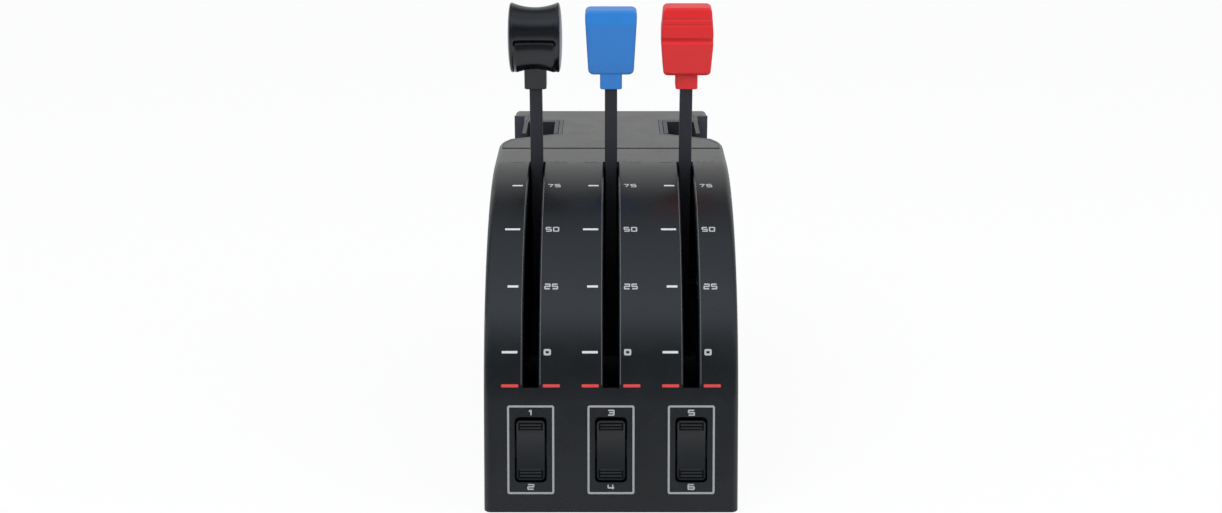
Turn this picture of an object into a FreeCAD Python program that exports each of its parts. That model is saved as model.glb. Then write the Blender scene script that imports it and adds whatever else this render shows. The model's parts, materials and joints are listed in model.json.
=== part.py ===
"""Desk throttle quadrant with three levers and three rocker switches.

Millimetres. X is across the unit, +Y points away from the user, +Z is up and the origin is on the
desk under the middle of the housing. Lever angles are measured about the lever pivot, upwards from
straight ahead (-Y). Each piece is written to parts/NODE.step.
"""
import FreeCAD, Part
import math
import os

V = FreeCAD.Vector

# Overall
REAR_Y = 107.0
FOOT_H = 2.0
PIVOT_Y = 4.0
PIVOT_Z = 24.0
ARC_R = 103.0
FACE_LEAN = 13.5
EDGE_R = 3.0

# Walls and gaps
WALL = 2.4
SIDE_WALL = 2.2
SHELL_GAP = 0.2
BASE_T = 4.0
SEAM_Y = 26.0
SEAM_W = 1.8

# Levers
LEVER_PITCH = 34.0
LEVER_REST = 86.5
ARM_W = 5.6
ARM_D = 7.0
ARM_FOOT_R = 12.0
ARM_IN_KNOB = 9.0
SLOT_W = 6.8
SLOT_LOW = 16.8
SLOT_HIGH = 88.8
SLOT_CHAMFER = 0.5
GUIDE_DEPTH = 12.0
GUIDE_T = 1.2

# Lever hub and gears
AXLE_R = 3.0
RUNNING_GAP = 0.05
HUB_R = 11.0
HUB_HALF_W = 4.5
HUB_BLOCK_D = 13.0
HUB_BLOCK_R = 27.0
ARM_FIT = 0.1
MODULE = 1.0
SECTOR_TEETH = 68
PINION_TEETH = 16
GEAR_T = 3.5
SECTOR_FROM = -16.0
SECTOR_TO = 68.0
BACKLASH = 0.12
PINION_AT = 60.0
POT_SHAFT_R = 2.0
PIN_R = 1.25

# Chassis
RIB_T = 2.5
RIB_FROM_LEVER = 10.0
CHASSIS_T = 3.0
CHASSIS_FRONT = 30.0
CHASSIS_BACK = 38.0
AXLE_BEYOND_RIB = 4.0
SIDE_PLAY = 0.2
SPACER_R = 5.0
CLIP_T = 0.8
CLIP_R = 5.5
WASHER_T = 0.6
WASHER_R = 7.0
POT_R = 8.0
POT_T = 5.5
POT_WALL_GAP = 1.05
POT_BUSH_R = 3.0
NUT_T = 1.2
NUT_FLATS = 9.0

# Rockers, in the lower face's own frame: x across, y up the face, z out of it
ROCKER_DOWN = 20.5
ROCKER_W = 11.8
ROCKER_L = 25.2
ROCKER_OPEN_W = 13.65
ROCKER_OPEN_L = 28.0
ROCKER_CORNER = 1.6
OPEN_CORNER = 2.0
ROCKER_MID = 0.5
ROCKER_END = 1.7
ROCKER_BACK = -3.0
ROCKER_PIVOT = -4.5
ROCKER_PIN_R = 1.0
ROCKER_BARREL_R = 2.3
RIDGE_PITCH = 1.3
RIDGE_R = 0.5
RIDGES = 3
CHEEK_T = 1.5
CRADLE_TOP = -WALL
CRADLE_PLATE = -9.0
CRADLE_T = 1.2
CRADLE_HALF_L = 17.0
CRADLE_BOSSES = [(17.0, -11.0), (17.0, 11.0)]
CRADLE_BOSS_R = 3.2
BOARD_T = 1.6
PUSH_AT = 7.5
PUSH_SIDE = 6.0
PUSH_H = 3.5
PLUNGER_R = 1.75
PLUNGER_H = 0.8
ROCKER_FOOT = 1.8

# Rear corner pockets, measured from the housing's side and back, and their clamp sockets
POCKET_DEPTH = 22.0
POCKET_W = 28.0
POCKET_FRONT_IN = 51.0
POCKET_CORNER_W = 5.5
POCKET_CORNER_IN = 61.5
POCKET_SIDE_IN = 72.5
POCKET_BACK_IN = 14.0
PILLAR_INSET = 4.4
SOCKET_W = 18.2
SOCKET_BACK_IN = 23.8
SOCKET_GAP = 0.3
SOCKET_WALL = 2.0
SOCKET_FLOOR = 3.0
TRAY_WALL = 1.8
TRAY_GAP = 0.2
TRAY_LIP_W = 2.4
TRAY_LIP_T = 1.2
CLAMP_HOLE_R = 2.1
CLAMP_CLEARANCE = 2.0
TONGUE_L = 5.0
TONGUE_T = 1.8
TONGUE_HALF_W = 11.0

# Fasteners
SCREW_R = 1.5
SCREW_HEAD_R = 2.8
SCREW_HEAD_T = 1.8
SCREW_GAP = 0.06
POST_R = 3.4
POST_H = 16.0
POST_WALL_GAP = 0.8
FRONT_POST_Y = (-70.0, 50.0)
REAR_POST_X = 38.0
TOP_POST_X = 16.0
COVER_SCREW_L = 14.0
TOP_SCREW_L = 8.0
CHASSIS_SCREW_L = 5.5
BOARD_SCREW_L = 6.0
CRADLE_SCREW_L = 7.0

# Feet, board and cable inlet
FOOT_R = 6.5
FOOT_FROM_SIDE = 12.0
FOOT_Y = (-88.0, 88.0)
BOARD_W = 62.0
BOARD_L = 40.0
BOARD_Y = 72.0
BOARD_RISE = 6.0
STANDOFF_R = 3.0
INLET_Z = 26.0
INLET_SIDE = 10.0
INLET_FLANGE = 14.0
INLET_BORE_R = 2.3

# Knobs, along the lever from the pivot
KNOB_R = 147.0
COLLAR_H = 6.8
COLLAR_W = 10.4
COLLAR_D = 12.0
COLLAR_IN_KNOB = 6.0
SPOOL_W = 24.2
SPOOL_H = 31.6
SPOOL_D = 25.0
SPOOL_WAIST = 2.2
SPOOL_DOME = 1.6
SPOOL_LIP = 1.2
PADDLE_TOP_W = 23.0
PADDLE_LOW_W = 20.3
PADDLE_H = 28.9
PADDLE_D = 12.0
PADDLE_BEVEL = 4.6
BLOCK_TOP_W = 21.3
BLOCK_MID_W = 23.1
BLOCK_LOW_W = 21.0
BLOCK_H = 30.4
BLOCK_D = 15.0
BLOCK_CREASE = 16.6
BLOCK_GROOVES = (24.2, 27.2)

# Worked out from the above
TOP_Z = PIVOT_Z + ARC_R
LEVER_X = {"left": -LEVER_PITCH, "mid": 0.0, "right": LEVER_PITCH}
OUTER_RIB_X = LEVER_PITCH + RIB_FROM_LEVER
INNER_HALF = OUTER_RIB_X + RIB_T / 2 + POT_T + POT_WALL_GAP
HALF_W = INNER_HALF + SIDE_WALL
AXLE_HALF = OUTER_RIB_X + RIB_T / 2 + AXLE_BEYOND_RIB
REAR_HALF = INNER_HALF - SHELL_GAP
BASE_TOP = FOOT_H + BASE_T
CHASSIS_TOP = BASE_TOP + CHASSIS_T
POCKET_FLOOR_Z = TOP_Z - POCKET_DEPTH
POCKET_IN_X = HALF_W - POCKET_W
POCKET_BACK = REAR_Y - POCKET_BACK_IN
PILLAR_X = HALF_W - PILLAR_INSET
SOCKET_OUT_X = POCKET_IN_X + SOCKET_W
SOCKET_FRONT = REAR_Y - POCKET_FRONT_IN
SOCKET_BACK = REAR_Y - SOCKET_BACK_IN
CLAMP_X = POCKET_IN_X + SOCKET_W / 2
CLAMP_Y = (SOCKET_FRONT + SOCKET_BACK) / 2
POST_X = INNER_HALF - POST_R - POST_WALL_GAP
FRONT_POSTS = [(POST_X, y) for y in FRONT_POST_Y]
REAR_POSTS = [(REAR_POST_X, REAR_Y - WALL - POST_R - 1.0)]
TOP_POSTS = [(TOP_POST_X, REAR_Y - WALL - POST_R - 1.0)]
FOOT_AT = [(HALF_W - FOOT_FROM_SIDE, y) for y in FOOT_Y]
COLLAR_R = KNOB_R - COLLAR_H
ARM_TOP_R = KNOB_R + ARM_IN_KNOB
GEAR_DISTANCE = MODULE * (SECTOR_TEETH + PINION_TEETH) / 2
LEAN = math.radians(FACE_LEAN)
FACE_TURN = FreeCAD.Rotation(V(1, 0, 0), 90 - FACE_LEAN)


def on_arc(radius, angle):
    """Point at an angle above straight ahead, at a distance from the lever pivot."""
    a = math.radians(angle)
    return V(0, PIVOT_Y - radius * math.cos(a), PIVOT_Z + radius * math.sin(a))


FACE_TOP = on_arc(ARC_R, FACE_LEAN)
ROCKER_CENTRE = FACE_TOP + V(0, -math.sin(LEAN), -math.cos(LEAN)) * ROCKER_DOWN


def box(x0, x1, y0, y1, z0, z1):
    return Part.makeBox(x1 - x0, y1 - y0, z1 - z0, V(x0, y0, z0))


def rod(radius, length, at, along):
    return Part.makeCylinder(radius, length, at, along)


def across(radius, x0, x1, y, z):
    """Cylinder along X."""
    return rod(radius, x1 - x0, V(x0, y, z), V(1, 0, 0))


def upright(radius, x, y, z0, z1):
    return rod(radius, z1 - z0, V(x, y, z0), V(0, 0, 1))


def prism(points, push):
    """Closed outline pushed along a vector."""
    wire = Part.makePolygon(list(points) + [points[0]])
    return Part.Face(wire).extrude(push)


def fuse(shapes):
    first = shapes[0]
    if len(shapes) == 1:
        return first
    return first.multiFuse(shapes[1:]).removeSplitter()


def group(shapes):
    return Part.makeCompound(shapes)


def mirrored(shape):
    return shape.mirror(V(0, 0, 0), V(1, 0, 0))


def both_sides(points):
    return [(side * x, y) for side in (-1, 1) for (x, y) in points]


def on_face(shape):
    """Put a shape made in the lower face's frame, centred on a rocker, on the housing."""
    placed = shape.copy()
    placed.Placement = FreeCAD.Placement(ROCKER_CENTRE, FACE_TURN)
    return placed


def rounded_slab(w, h, r, z0, z1, x=0.0, y=0.0):
    slab = box(x - w / 2, x + w / 2, y - h / 2, y + h / 2, z0, z1)
    uprights = [e for e in slab.Edges if abs(e.Vertexes[0].Z - e.Vertexes[1].Z) > 1e-6]
    return slab.makeFillet(r, uprights)


def side_outline(inset, low_z):
    """Side view of the housing, moved inwards: lower face, arc about the pivot, top and back."""
    radius = ARC_R - inset
    start = on_arc(radius, FACE_LEAN)
    middle = on_arc(radius, (FACE_LEAN + 90) / 2)
    top = on_arc(radius, 90)
    run = (start.z - low_z) / math.cos(LEAN)
    toe = V(0, start.y - run * math.sin(LEAN), low_z)
    back_top = V(0, REAR_Y - inset, top.z)
    back_low = V(0, REAR_Y - inset, low_z)
    edges = [
        Part.LineSegment(toe, start).toShape(),
        Part.Arc(start, middle, top).toShape(),
        Part.LineSegment(top, back_top).toShape(),
        Part.LineSegment(back_top, back_low).toShape(),
        Part.LineSegment(back_low, toe).toShape(),
    ]
    return Part.Wire(edges)


def housing_block(inset, low_z, half_width):
    face = Part.Face(side_outline(inset, low_z))
    face.translate(V(-half_width, 0, 0))
    return face.extrude(V(2 * half_width, 0, 0))


def soft_edged_block():
    """Housing outline with the long edges of its front, arc and top rounded."""
    block = housing_block(0, FOOT_H, HALF_W)
    soft = []
    for edge in block.Edges:
        flat = abs(edge.BoundBox.XMax - edge.BoundBox.XMin) < 1e-6
        lies_low = edge.BoundBox.ZMax < FOOT_H + 1e-6
        is_back = edge.BoundBox.YMin > REAR_Y - 1e-6
        if flat and not lies_low and not is_back:
            soft.append(edge)
    return block.makeFillet(EDGE_R, soft)


def arc_ring(x0, x1, r0, r1, from_angle, to_angle):
    """Curved bar about the pivot axis."""
    profile = [V(x0, 0, r0), V(x1, 0, r0), V(x1, 0, r1), V(x0, 0, r1)]
    return spun(profile, from_angle, to_angle)


def spun(profile, from_angle, to_angle):
    """Turn an outline of (x, 0, radius) points about the pivot axis, between two angles."""
    face = Part.Face(Part.makePolygon(profile + [profile[0]]))
    face.rotate(V(0, 0, 0), V(1, 0, 0), 90 - to_angle)
    face.translate(V(0, PIVOT_Y, PIVOT_Z))
    return face.revolve(V(0, PIVOT_Y, PIVOT_Z), V(1, 0, 0), to_angle - from_angle)


def slot_cut(x):
    half = SLOT_W / 2
    wide = half + SLOT_CHAMFER
    beyond = ARC_R + 5
    low = ARC_R - GUIDE_DEPTH - WALL
    profile = [
        V(x - half, 0, low),
        V(x + half, 0, low),
        V(x + half, 0, ARC_R - SLOT_CHAMFER),
        V(x + wide, 0, ARC_R),
        V(x + wide, 0, beyond),
        V(x - wide, 0, beyond),
        V(x - wide, 0, ARC_R),
        V(x - half, 0, ARC_R - SLOT_CHAMFER),
    ]
    return spun(profile, SLOT_LOW, SLOT_HIGH)


def pocket_plan():
    """Plan of the right rear pocket, open to the side."""
    out = HALF_W + 10
    return [
        (POCKET_IN_X, SOCKET_FRONT),
        (HALF_W - POCKET_CORNER_W, REAR_Y - POCKET_CORNER_IN),
        (HALF_W + SHELL_GAP, REAR_Y - POCKET_SIDE_IN),
        (out, REAR_Y - POCKET_SIDE_IN),
        (out, POCKET_BACK),
        (SOCKET_OUT_X, POCKET_BACK),
        (SOCKET_OUT_X, SOCKET_BACK),
        (POCKET_IN_X, SOCKET_BACK),
    ]


def pocket_slab(grow, z0, z1):
    """The pocket's plan, grown sideways all round, between two heights."""
    points = [V(x, y, z0) for (x, y) in pocket_plan()]
    face = Part.Face(Part.makePolygon(points + [points[0]]))
    if grow > 0:
        face = face.makeOffset2D(grow, 2)
    return face.extrude(V(0, 0, z1 - z0))


def pocket_void():
    return pocket_slab(0, POCKET_FLOOR_Z, TOP_Z + 5)


def screw_post(x, y, gusset):
    """Post with a screw hole, tied to a wall by a gusset."""
    top = BASE_TOP + POST_H
    post = upright(POST_R, x, y, BASE_TOP, top).fuse(gusset)
    return post.cut(upright(SCREW_R + SCREW_GAP, x, y, BASE_TOP - 1, top - WALL))


def front_cover():
    shell = soft_edged_block().cut(housing_block(WALL, FOOT_H - 5, INNER_HALF))
    behind = box(-INNER_HALF, INNER_HALF, SEAM_Y, REAR_Y + 5, FOOT_H - 5, TOP_Z + 5)
    shell = shell.cut(behind)
    void = pocket_void()
    beside_pillar = box(INNER_HALF - 1, HALF_W + 10, POCKET_BACK - 1, REAR_Y + 5, POCKET_FLOOR_Z, TOP_Z + 5)
    shell = shell.cut([void, mirrored(void), beside_pillar, mirrored(beside_pillar)])
    adds = []
    for x in LEVER_X.values():
        for side in (-1, 1):
            inner = x + side * SLOT_W / 2
            x0, x1 = sorted((inner, inner + side * GUIDE_T))
            adds.append(arc_ring(x0, x1, ARC_R - GUIDE_DEPTH, ARC_R - WALL / 2, SLOT_LOW, SLOT_HIGH))
    for x, y in both_sides(FRONT_POSTS):
        side = 1 if x > 0 else -1
        x0, x1 = sorted((x, side * (INNER_HALF + SIDE_WALL / 2)))
        gusset = box(x0, x1, y - 1, y + 1, BASE_TOP, BASE_TOP + POST_H)
        adds.append(screw_post(x, y, gusset))
    for x, y in both_sides(CRADLE_BOSSES):
        adds.append(on_face(upright(CRADLE_BOSS_R, x, y, CRADLE_PLATE, -WALL / 2)))
    shell = shell.multiFuse(adds)
    cuts = [slot_cut(x) for x in LEVER_X.values()]
    for x in LEVER_X.values():
        opening = rounded_slab(ROCKER_OPEN_W, ROCKER_OPEN_L, OPEN_CORNER, -WALL - 3, 5, x)
        cuts.append(on_face(opening))
    for x, y in both_sides(CRADLE_BOSSES):
        cuts.append(on_face(upright(SCREW_R + SCREW_GAP, x, y, CRADLE_PLATE - 1, -WALL - 1.5)))
    return shell.cut(cuts).removeSplitter()


def rear_cover():
    """Top panel with its back wall and the two pillars behind the pockets."""
    low = POCKET_FLOOR_Z
    wide = box(-REAR_HALF, REAR_HALF, SEAM_Y + SEAM_W, POCKET_BACK - 1, low, TOP_Z)
    narrow = box(-PILLAR_X, PILLAR_X, POCKET_BACK - 2, REAR_Y, low, TOP_Z)
    soft = []
    for edge in narrow.Edges:
        b = edge.BoundBox
        at_back = b.YMin > REAR_Y - 1e-6 and b.ZMin > low + 1e-6 or b.YMin > REAR_Y - 1e-6 and b.XLength < 1e-6
        at_side = b.ZMin > TOP_Z - 1e-6 and b.XLength < 1e-6
        if at_back or at_side:
            soft.append(edge)
    narrow = narrow.makeFillet(EDGE_R - 0.6, soft)
    body = wide.fuse(narrow).removeSplitter()
    under = TOP_Z - WALL
    inside = PILLAR_X - SIDE_WALL
    behind_tray = POCKET_BACK + TRAY_WALL + TRAY_GAP
    rooms = [
        box(-HALF_W, HALF_W, SEAM_Y, behind_tray, low - 1, under),
        box(-inside, inside, SEAM_Y, REAR_Y - WALL, low - 1, under),
    ]
    cut = pocket_slab(TRAY_WALL + TRAY_GAP, low - 1, TOP_Z + 5)
    keep = box(-HALF_W - 1, HALF_W + 1, behind_tray, REAR_Y + 5, low - 5, TOP_Z + 10)
    cut = cut.cut(keep)
    body = body.cut(rooms + [cut, mirrored(cut)])
    adds = []
    for x, y in both_sides(TOP_POSTS):
        adds.append(upright(POST_R, x, y, low, under + WALL / 2))
        adds.append(box(x - 1, x + 1, y, REAR_Y - WALL / 2, low, under + WALL / 2))
    for x in (-LEVER_PITCH / 2, LEVER_PITCH / 2):
        x0 = x - TONGUE_HALF_W
        x1 = x + TONGUE_HALF_W
        adds.append(box(x0, x1, SEAM_Y - TONGUE_L, SEAM_Y + SEAM_W + TONGUE_L, under - TONGUE_T, under))
    body = body.multiFuse(adds)
    holes = [upright(SCREW_R + SCREW_GAP, x, y, low - 1, low + TOP_SCREW_L) for x, y in both_sides(TOP_POSTS)]
    return body.cut(holes).removeSplitter()


def back_panel():
    """Flat panel below the rear cover, with a shelf under it and the cable's opening."""
    top = POCKET_FLOOR_Z - SHELL_GAP
    wall = box(-REAR_HALF, REAR_HALF, REAR_Y - WALL, REAR_Y, FOOT_H, top)
    shelf_y = POCKET_BACK + TRAY_WALL + TRAY_GAP
    shelf = box(-REAR_HALF, REAR_HALF, shelf_y, REAR_Y, top - WALL, top)
    adds = [shelf]
    for x, y in both_sides(REAR_POSTS):
        gusset = box(x - 1, x + 1, y, REAR_Y - WALL / 2, BASE_TOP, BASE_TOP + POST_H)
        adds.append(screw_post(x, y, gusset))
    for x, y in both_sides(TOP_POSTS):
        adds.append(upright(POST_R, x, y, top - WALL / 2, POCKET_FLOOR_Z))
    panel = wall.multiFuse(adds)
    half = INLET_SIDE / 2
    cuts = [box(-half, half, REAR_Y - WALL - 5, REAR_Y + 5, INLET_Z - half, INLET_Z + half)]
    for x, y in both_sides(TOP_POSTS):
        cuts.append(upright(SCREW_R + 0.2, x, y, top - WALL - 1, POCKET_FLOOR_Z + 1))
    return panel.cut(cuts).removeSplitter()


def top_screws():
    """Screws from under the back panel's shelf into the rear cover."""
    seat = POCKET_FLOOR_Z - SHELL_GAP - WALL
    return group([pan_screw(x, y, seat, TOP_SCREW_L) for x, y in both_sides(TOP_POSTS)])


def pocket_tray(side):
    """Open tray that lines a rear pocket: floor, walls, and a lip under the top panel."""
    floor_low = POCKET_FLOOR_Z - WALL
    limit = box(0, REAR_HALF, 0, REAR_Y, floor_low - 1, TOP_Z + 1)
    shell = pocket_slab(TRAY_WALL, floor_low, TOP_Z).common(limit)
    under = TOP_Z - WALL
    behind = POCKET_BACK + TRAY_WALL
    lip = pocket_slab(TRAY_WALL + TRAY_LIP_W, under - TRAY_LIP_T, under)
    lip = lip.common(box(0, PILLAR_X - SIDE_WALL, 0, behind, 0, TOP_Z))
    void = pocket_void()
    beside_pillar = box(PILLAR_X, HALF_W, POCKET_BACK - 1, REAR_Y, POCKET_FLOOR_Z, TOP_Z + 1)
    hole = upright(CLAMP_HOLE_R + CLAMP_CLEARANCE, CLAMP_X, CLAMP_Y, floor_low - 1, POCKET_FLOOR_Z + 1)
    tray = shell.fuse(lip).cut([void, beside_pillar, hole]).removeSplitter()
    return tray if side > 0 else mirrored(tray)


def clamp_socket(side):
    """U-shaped insert that a desk clamp's tongue drops into, with its screw hole."""
    x0 = POCKET_IN_X + SOCKET_GAP
    x1 = SOCKET_OUT_X - SOCKET_GAP
    y0 = SOCKET_FRONT + SOCKET_GAP
    y1 = SOCKET_BACK - SOCKET_GAP
    body = box(x0, x1, y0, y1, POCKET_FLOOR_Z, TOP_Z)
    well = box(
        x0 + SOCKET_WALL,
        x1 - SOCKET_WALL,
        y0 - 1,
        y1 - SOCKET_WALL,
        POCKET_FLOOR_Z + SOCKET_FLOOR,
        TOP_Z + 1,
    )
    hole = upright(CLAMP_HOLE_R, CLAMP_X, CLAMP_Y, POCKET_FLOOR_Z - 1, TOP_Z)
    socket = body.cut([well, hole])
    return socket if side > 0 else mirrored(socket)


def base_plate():
    gap = 0.3
    front = housing_block(WALL + gap, FOOT_H, INNER_HALF - gap)
    plate = front.common(box(-HALF_W, HALF_W, -200, 200, FOOT_H, BASE_TOP))
    adds = []
    for x, y in board_corners():
        adds.append(upright(STANDOFF_R, x, y, BASE_TOP - 1, BASE_TOP + BOARD_RISE))
    plate = plate.multiFuse(adds)
    cuts = []
    for x, y in both_sides(FRONT_POSTS + REAR_POSTS):
        cuts.append(upright(SCREW_HEAD_R + 0.4, x, y, FOOT_H - 1, FOOT_H + SCREW_HEAD_T + 0.4))
        cuts.append(upright(SCREW_R + 0.2, x, y, FOOT_H, BASE_TOP + 1))
    for x, y in board_corners():
        top = BASE_TOP + BOARD_RISE
        cuts.append(upright(SCREW_R + SCREW_GAP, x, y, top - 7, top + 1))
    for x, y in chassis_holes():
        cuts.append(upright(SCREW_R + SCREW_GAP, x, y, FOOT_H + 0.6, BASE_TOP + 1))
    return plate.cut(cuts).removeSplitter()


def board_corners():
    dx = BOARD_W / 2 - 4
    dy = BOARD_L / 2 - 4
    return [(sx * dx, BOARD_Y + sy * dy) for sx in (-1, 1) for sy in (-1, 1)]


def chassis_holes():
    y0 = PIVOT_Y - CHASSIS_FRONT + 5
    y1 = PIVOT_Y + CHASSIS_BACK - 5
    return both_sides([(34.0, y0), (34.0, y1)])


def rib_positions():
    ribs = [x + RIB_FROM_LEVER for x in LEVER_X.values()]
    return [-OUTER_RIB_X] + ribs


def pinion_centre():
    a = math.radians(PINION_AT)
    return (PIVOT_Y + GEAR_DISTANCE * math.cos(a), PIVOT_Z + GEAR_DISTANCE * math.sin(a))


def rib(x):
    """Upright rib: a foot on the chassis floor, an eye for the axle and a head for the pot."""
    py, pz = pinion_centre()
    head = POT_R + 2
    x0 = x - RIB_T / 2
    y0 = PIVOT_Y - CHASSIS_FRONT + 2
    y1 = PIVOT_Y + CHASSIS_BACK - 2
    outline = [
        V(x0, y0, CHASSIS_TOP - 1),
        V(x0, y1, CHASSIS_TOP - 1),
        V(x0, py + head, pz),
        V(x0, py + head - 3, pz + head),
        V(x0, py - head + 3, pz + head),
        V(x0, PIVOT_Y - HUB_R, PIVOT_Z + 30),
        V(x0, PIVOT_Y - HUB_R - 20, PIVOT_Z + 30),
        V(x0, PIVOT_Y - HUB_R - 20, PIVOT_Z + 14),
    ]
    return prism(outline, V(RIB_T, 0, 0))


def chassis():
    y0 = PIVOT_Y - CHASSIS_FRONT
    y1 = PIVOT_Y + CHASSIS_BACK
    half = OUTER_RIB_X + RIB_T / 2
    floor = box(-half, half, y0, y1, BASE_TOP, CHASSIS_TOP)
    ribs = [rib(x) for x in rib_positions()]
    body = fuse([floor] + ribs)
    cuts = [across(AXLE_R + RUNNING_GAP, -HALF_W, HALF_W, PIVOT_Y, PIVOT_Z)]
    py, pz = pinion_centre()
    for x in LEVER_X.values():
        centre = x + RIB_FROM_LEVER
        cuts.append(across(POT_BUSH_R + 0.1, centre - RIB_T, centre + RIB_T, py, pz))
    for x, y in chassis_holes():
        cuts.append(upright(SCREW_R + 0.2, x, y, BASE_TOP - 1, CHASSIS_TOP + 1))
    lighten = []
    for x in rib_positions():
        window = [
            V(x - RIB_T, PIVOT_Y - 14, CHASSIS_TOP + 3),
            V(x - RIB_T, PIVOT_Y + 24, CHASSIS_TOP + 3),
            V(x - RIB_T, PIVOT_Y + 20, PIVOT_Z - 7),
            V(x - RIB_T, PIVOT_Y - 18, PIVOT_Z - 7),
        ]
        lighten.append(prism(window, V(2 * RIB_T, 0, 0)))
    return body.cut(cuts + lighten).removeSplitter()


def pan_screw(x, y, seat_z, length, up=1):
    """Pan-head screw: its head's seat is at seat_z and the shank runs away from the head."""
    if up > 0:
        head = upright(SCREW_HEAD_R, x, y, seat_z - SCREW_HEAD_T, seat_z)
        shank = upright(SCREW_R, x, y, seat_z - 0.5, seat_z + length)
        recess = box(x - 1.6, x + 1.6, y - 0.4, y + 0.4, seat_z - SCREW_HEAD_T, seat_z - 1.0)
        cross = box(x - 0.4, x + 0.4, y - 1.6, y + 1.6, seat_z - SCREW_HEAD_T, seat_z - 1.0)
    else:
        head = upright(SCREW_HEAD_R, x, y, seat_z, seat_z + SCREW_HEAD_T)
        shank = upright(SCREW_R, x, y, seat_z - length, seat_z + 0.5)
        recess = box(x - 1.6, x + 1.6, y - 0.4, y + 0.4, seat_z + 1.0, seat_z + SCREW_HEAD_T)
        cross = box(x - 0.4, x + 0.4, y - 1.6, y + 1.6, seat_z + 1.0, seat_z + SCREW_HEAD_T)
    return head.fuse(shank).cut([recess, cross]).removeSplitter()


def cover_screws():
    seat = FOOT_H + SCREW_HEAD_T + 0.4
    return group([pan_screw(x, y, seat, COVER_SCREW_L) for x, y in both_sides(FRONT_POSTS + REAR_POSTS)])


def chassis_screws():
    return group([pan_screw(x, y, CHASSIS_TOP, CHASSIS_SCREW_L, -1) for x, y in chassis_holes()])


def board_screws():
    seat = BASE_TOP + BOARD_RISE + BOARD_T
    return group([pan_screw(x, y, seat, BOARD_SCREW_L, -1) for x, y in board_corners()])


def rubber_feet():
    feet = []
    for x, y in both_sides(FOOT_AT):
        foot = upright(FOOT_R, x, y, 0, FOOT_H)
        low = [e for e in foot.Edges if e.BoundBox.ZMax < 1e-6]
        feet.append(foot.makeChamfer(0.5, low))
    return group(feet)


def pivot_axle():
    axle = across(AXLE_R, -AXLE_HALF, AXLE_HALF, PIVOT_Y, PIVOT_Z)
    grooves = []
    for side in (-1, 1):
        x0, x1 = clip_span(side)
        ring = across(AXLE_R + 1, x0, x1, PIVOT_Y, PIVOT_Z)
        core = across(AXLE_R - 0.6, x0 - 1, x1 + 1, PIVOT_Y, PIVOT_Z)
        grooves.append(ring.cut(core))
    return axle.cut(grooves)


def clip_span(side):
    near = OUTER_RIB_X + RIB_T / 2 + 0.1
    return tuple(sorted((side * near, side * (near + CLIP_T))))


def axle_clips():
    """E-clips in the axle's end grooves."""
    clips = []
    for side in (-1, 1):
        x0, x1 = clip_span(side)
        ring = across(CLIP_R, x0, x1, PIVOT_Y, PIVOT_Z)
        hole = across(AXLE_R - 0.5, x0 - 1, x1 + 1, PIVOT_Y, PIVOT_Z)
        mouth = box(x0 - 1, x1 + 1, PIVOT_Y - 1.9, PIVOT_Y + 1.9, PIVOT_Z - 8, PIVOT_Z)
        clips.append(ring.cut([hole, mouth]))
    return group(clips)


def gear_side():
    """Where the toothed part of a hub starts, from the lever's middle."""
    return HUB_HALF_W - 1.0


def bays():
    """For each lever, the free stretch of axle at its left and at its right."""
    ribs = rib_positions()
    out = []
    for i, x in enumerate(LEVER_X.values()):
        left = (ribs[i] + RIB_T / 2, x - HUB_HALF_W - SIDE_PLAY)
        right = (x + gear_side() + GEAR_T + SIDE_PLAY, ribs[i + 1] - RIB_T / 2)
        out.append((left, right))
    return out


def ring_on_axle(radius, x0, x1):
    ring = across(radius, x0, x1, PIVOT_Y, PIVOT_Z)
    return ring.cut(across(AXLE_R + RUNNING_GAP, x0 - 1, x1 + 1, PIVOT_Y, PIVOT_Z))


def axle_spacers():
    rings = []
    for left, right in bays():
        rings.append(ring_on_axle(SPACER_R, left[0], left[1] - WASHER_T))
        rings.append(ring_on_axle(SPACER_R, right[0], right[1]))
    return group(rings)


def friction_washers():
    return group([ring_on_axle(WASHER_R, left[1] - WASHER_T, left[1]) for left, right in bays()])


def tooth(pitch_r, teeth, middle, x0, x1, cy, cz):
    """One spur tooth with curved flanks, built at an angle above +Y."""
    tip_r = pitch_r + MODULE
    root_r = pitch_r - 1.25 * MODULE
    half_pitch = math.pi / (2 * teeth) - BACKLASH / (2 * pitch_r)
    spread = math.tan(math.radians(20)) / pitch_r
    rows = [
        (root_r - 0.2, half_pitch + spread * 1.25 * MODULE),
        (pitch_r, half_pitch),
        (tip_r, half_pitch - spread * 1.1 * MODULE),
    ]

    def at(radius, angle):
        a = math.radians(middle) + angle
        return V(x0, cy + radius * math.cos(a), cz + radius * math.sin(a))

    right = [at(r, -w) for r, w in rows]
    left = [at(r, w) for r, w in rows]
    edges = [
        Part.Arc(right[0], right[1] + (right[2] - right[0]) * 0, right[2]).toShape(),
        Part.LineSegment(right[2], left[2]).toShape(),
        Part.Arc(left[2], left[1], left[0]).toShape(),
        Part.LineSegment(left[0], right[0]).toShape(),
    ]
    return Part.Face(Part.Wire(edges)).extrude(V(x1 - x0, 0, 0))


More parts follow.
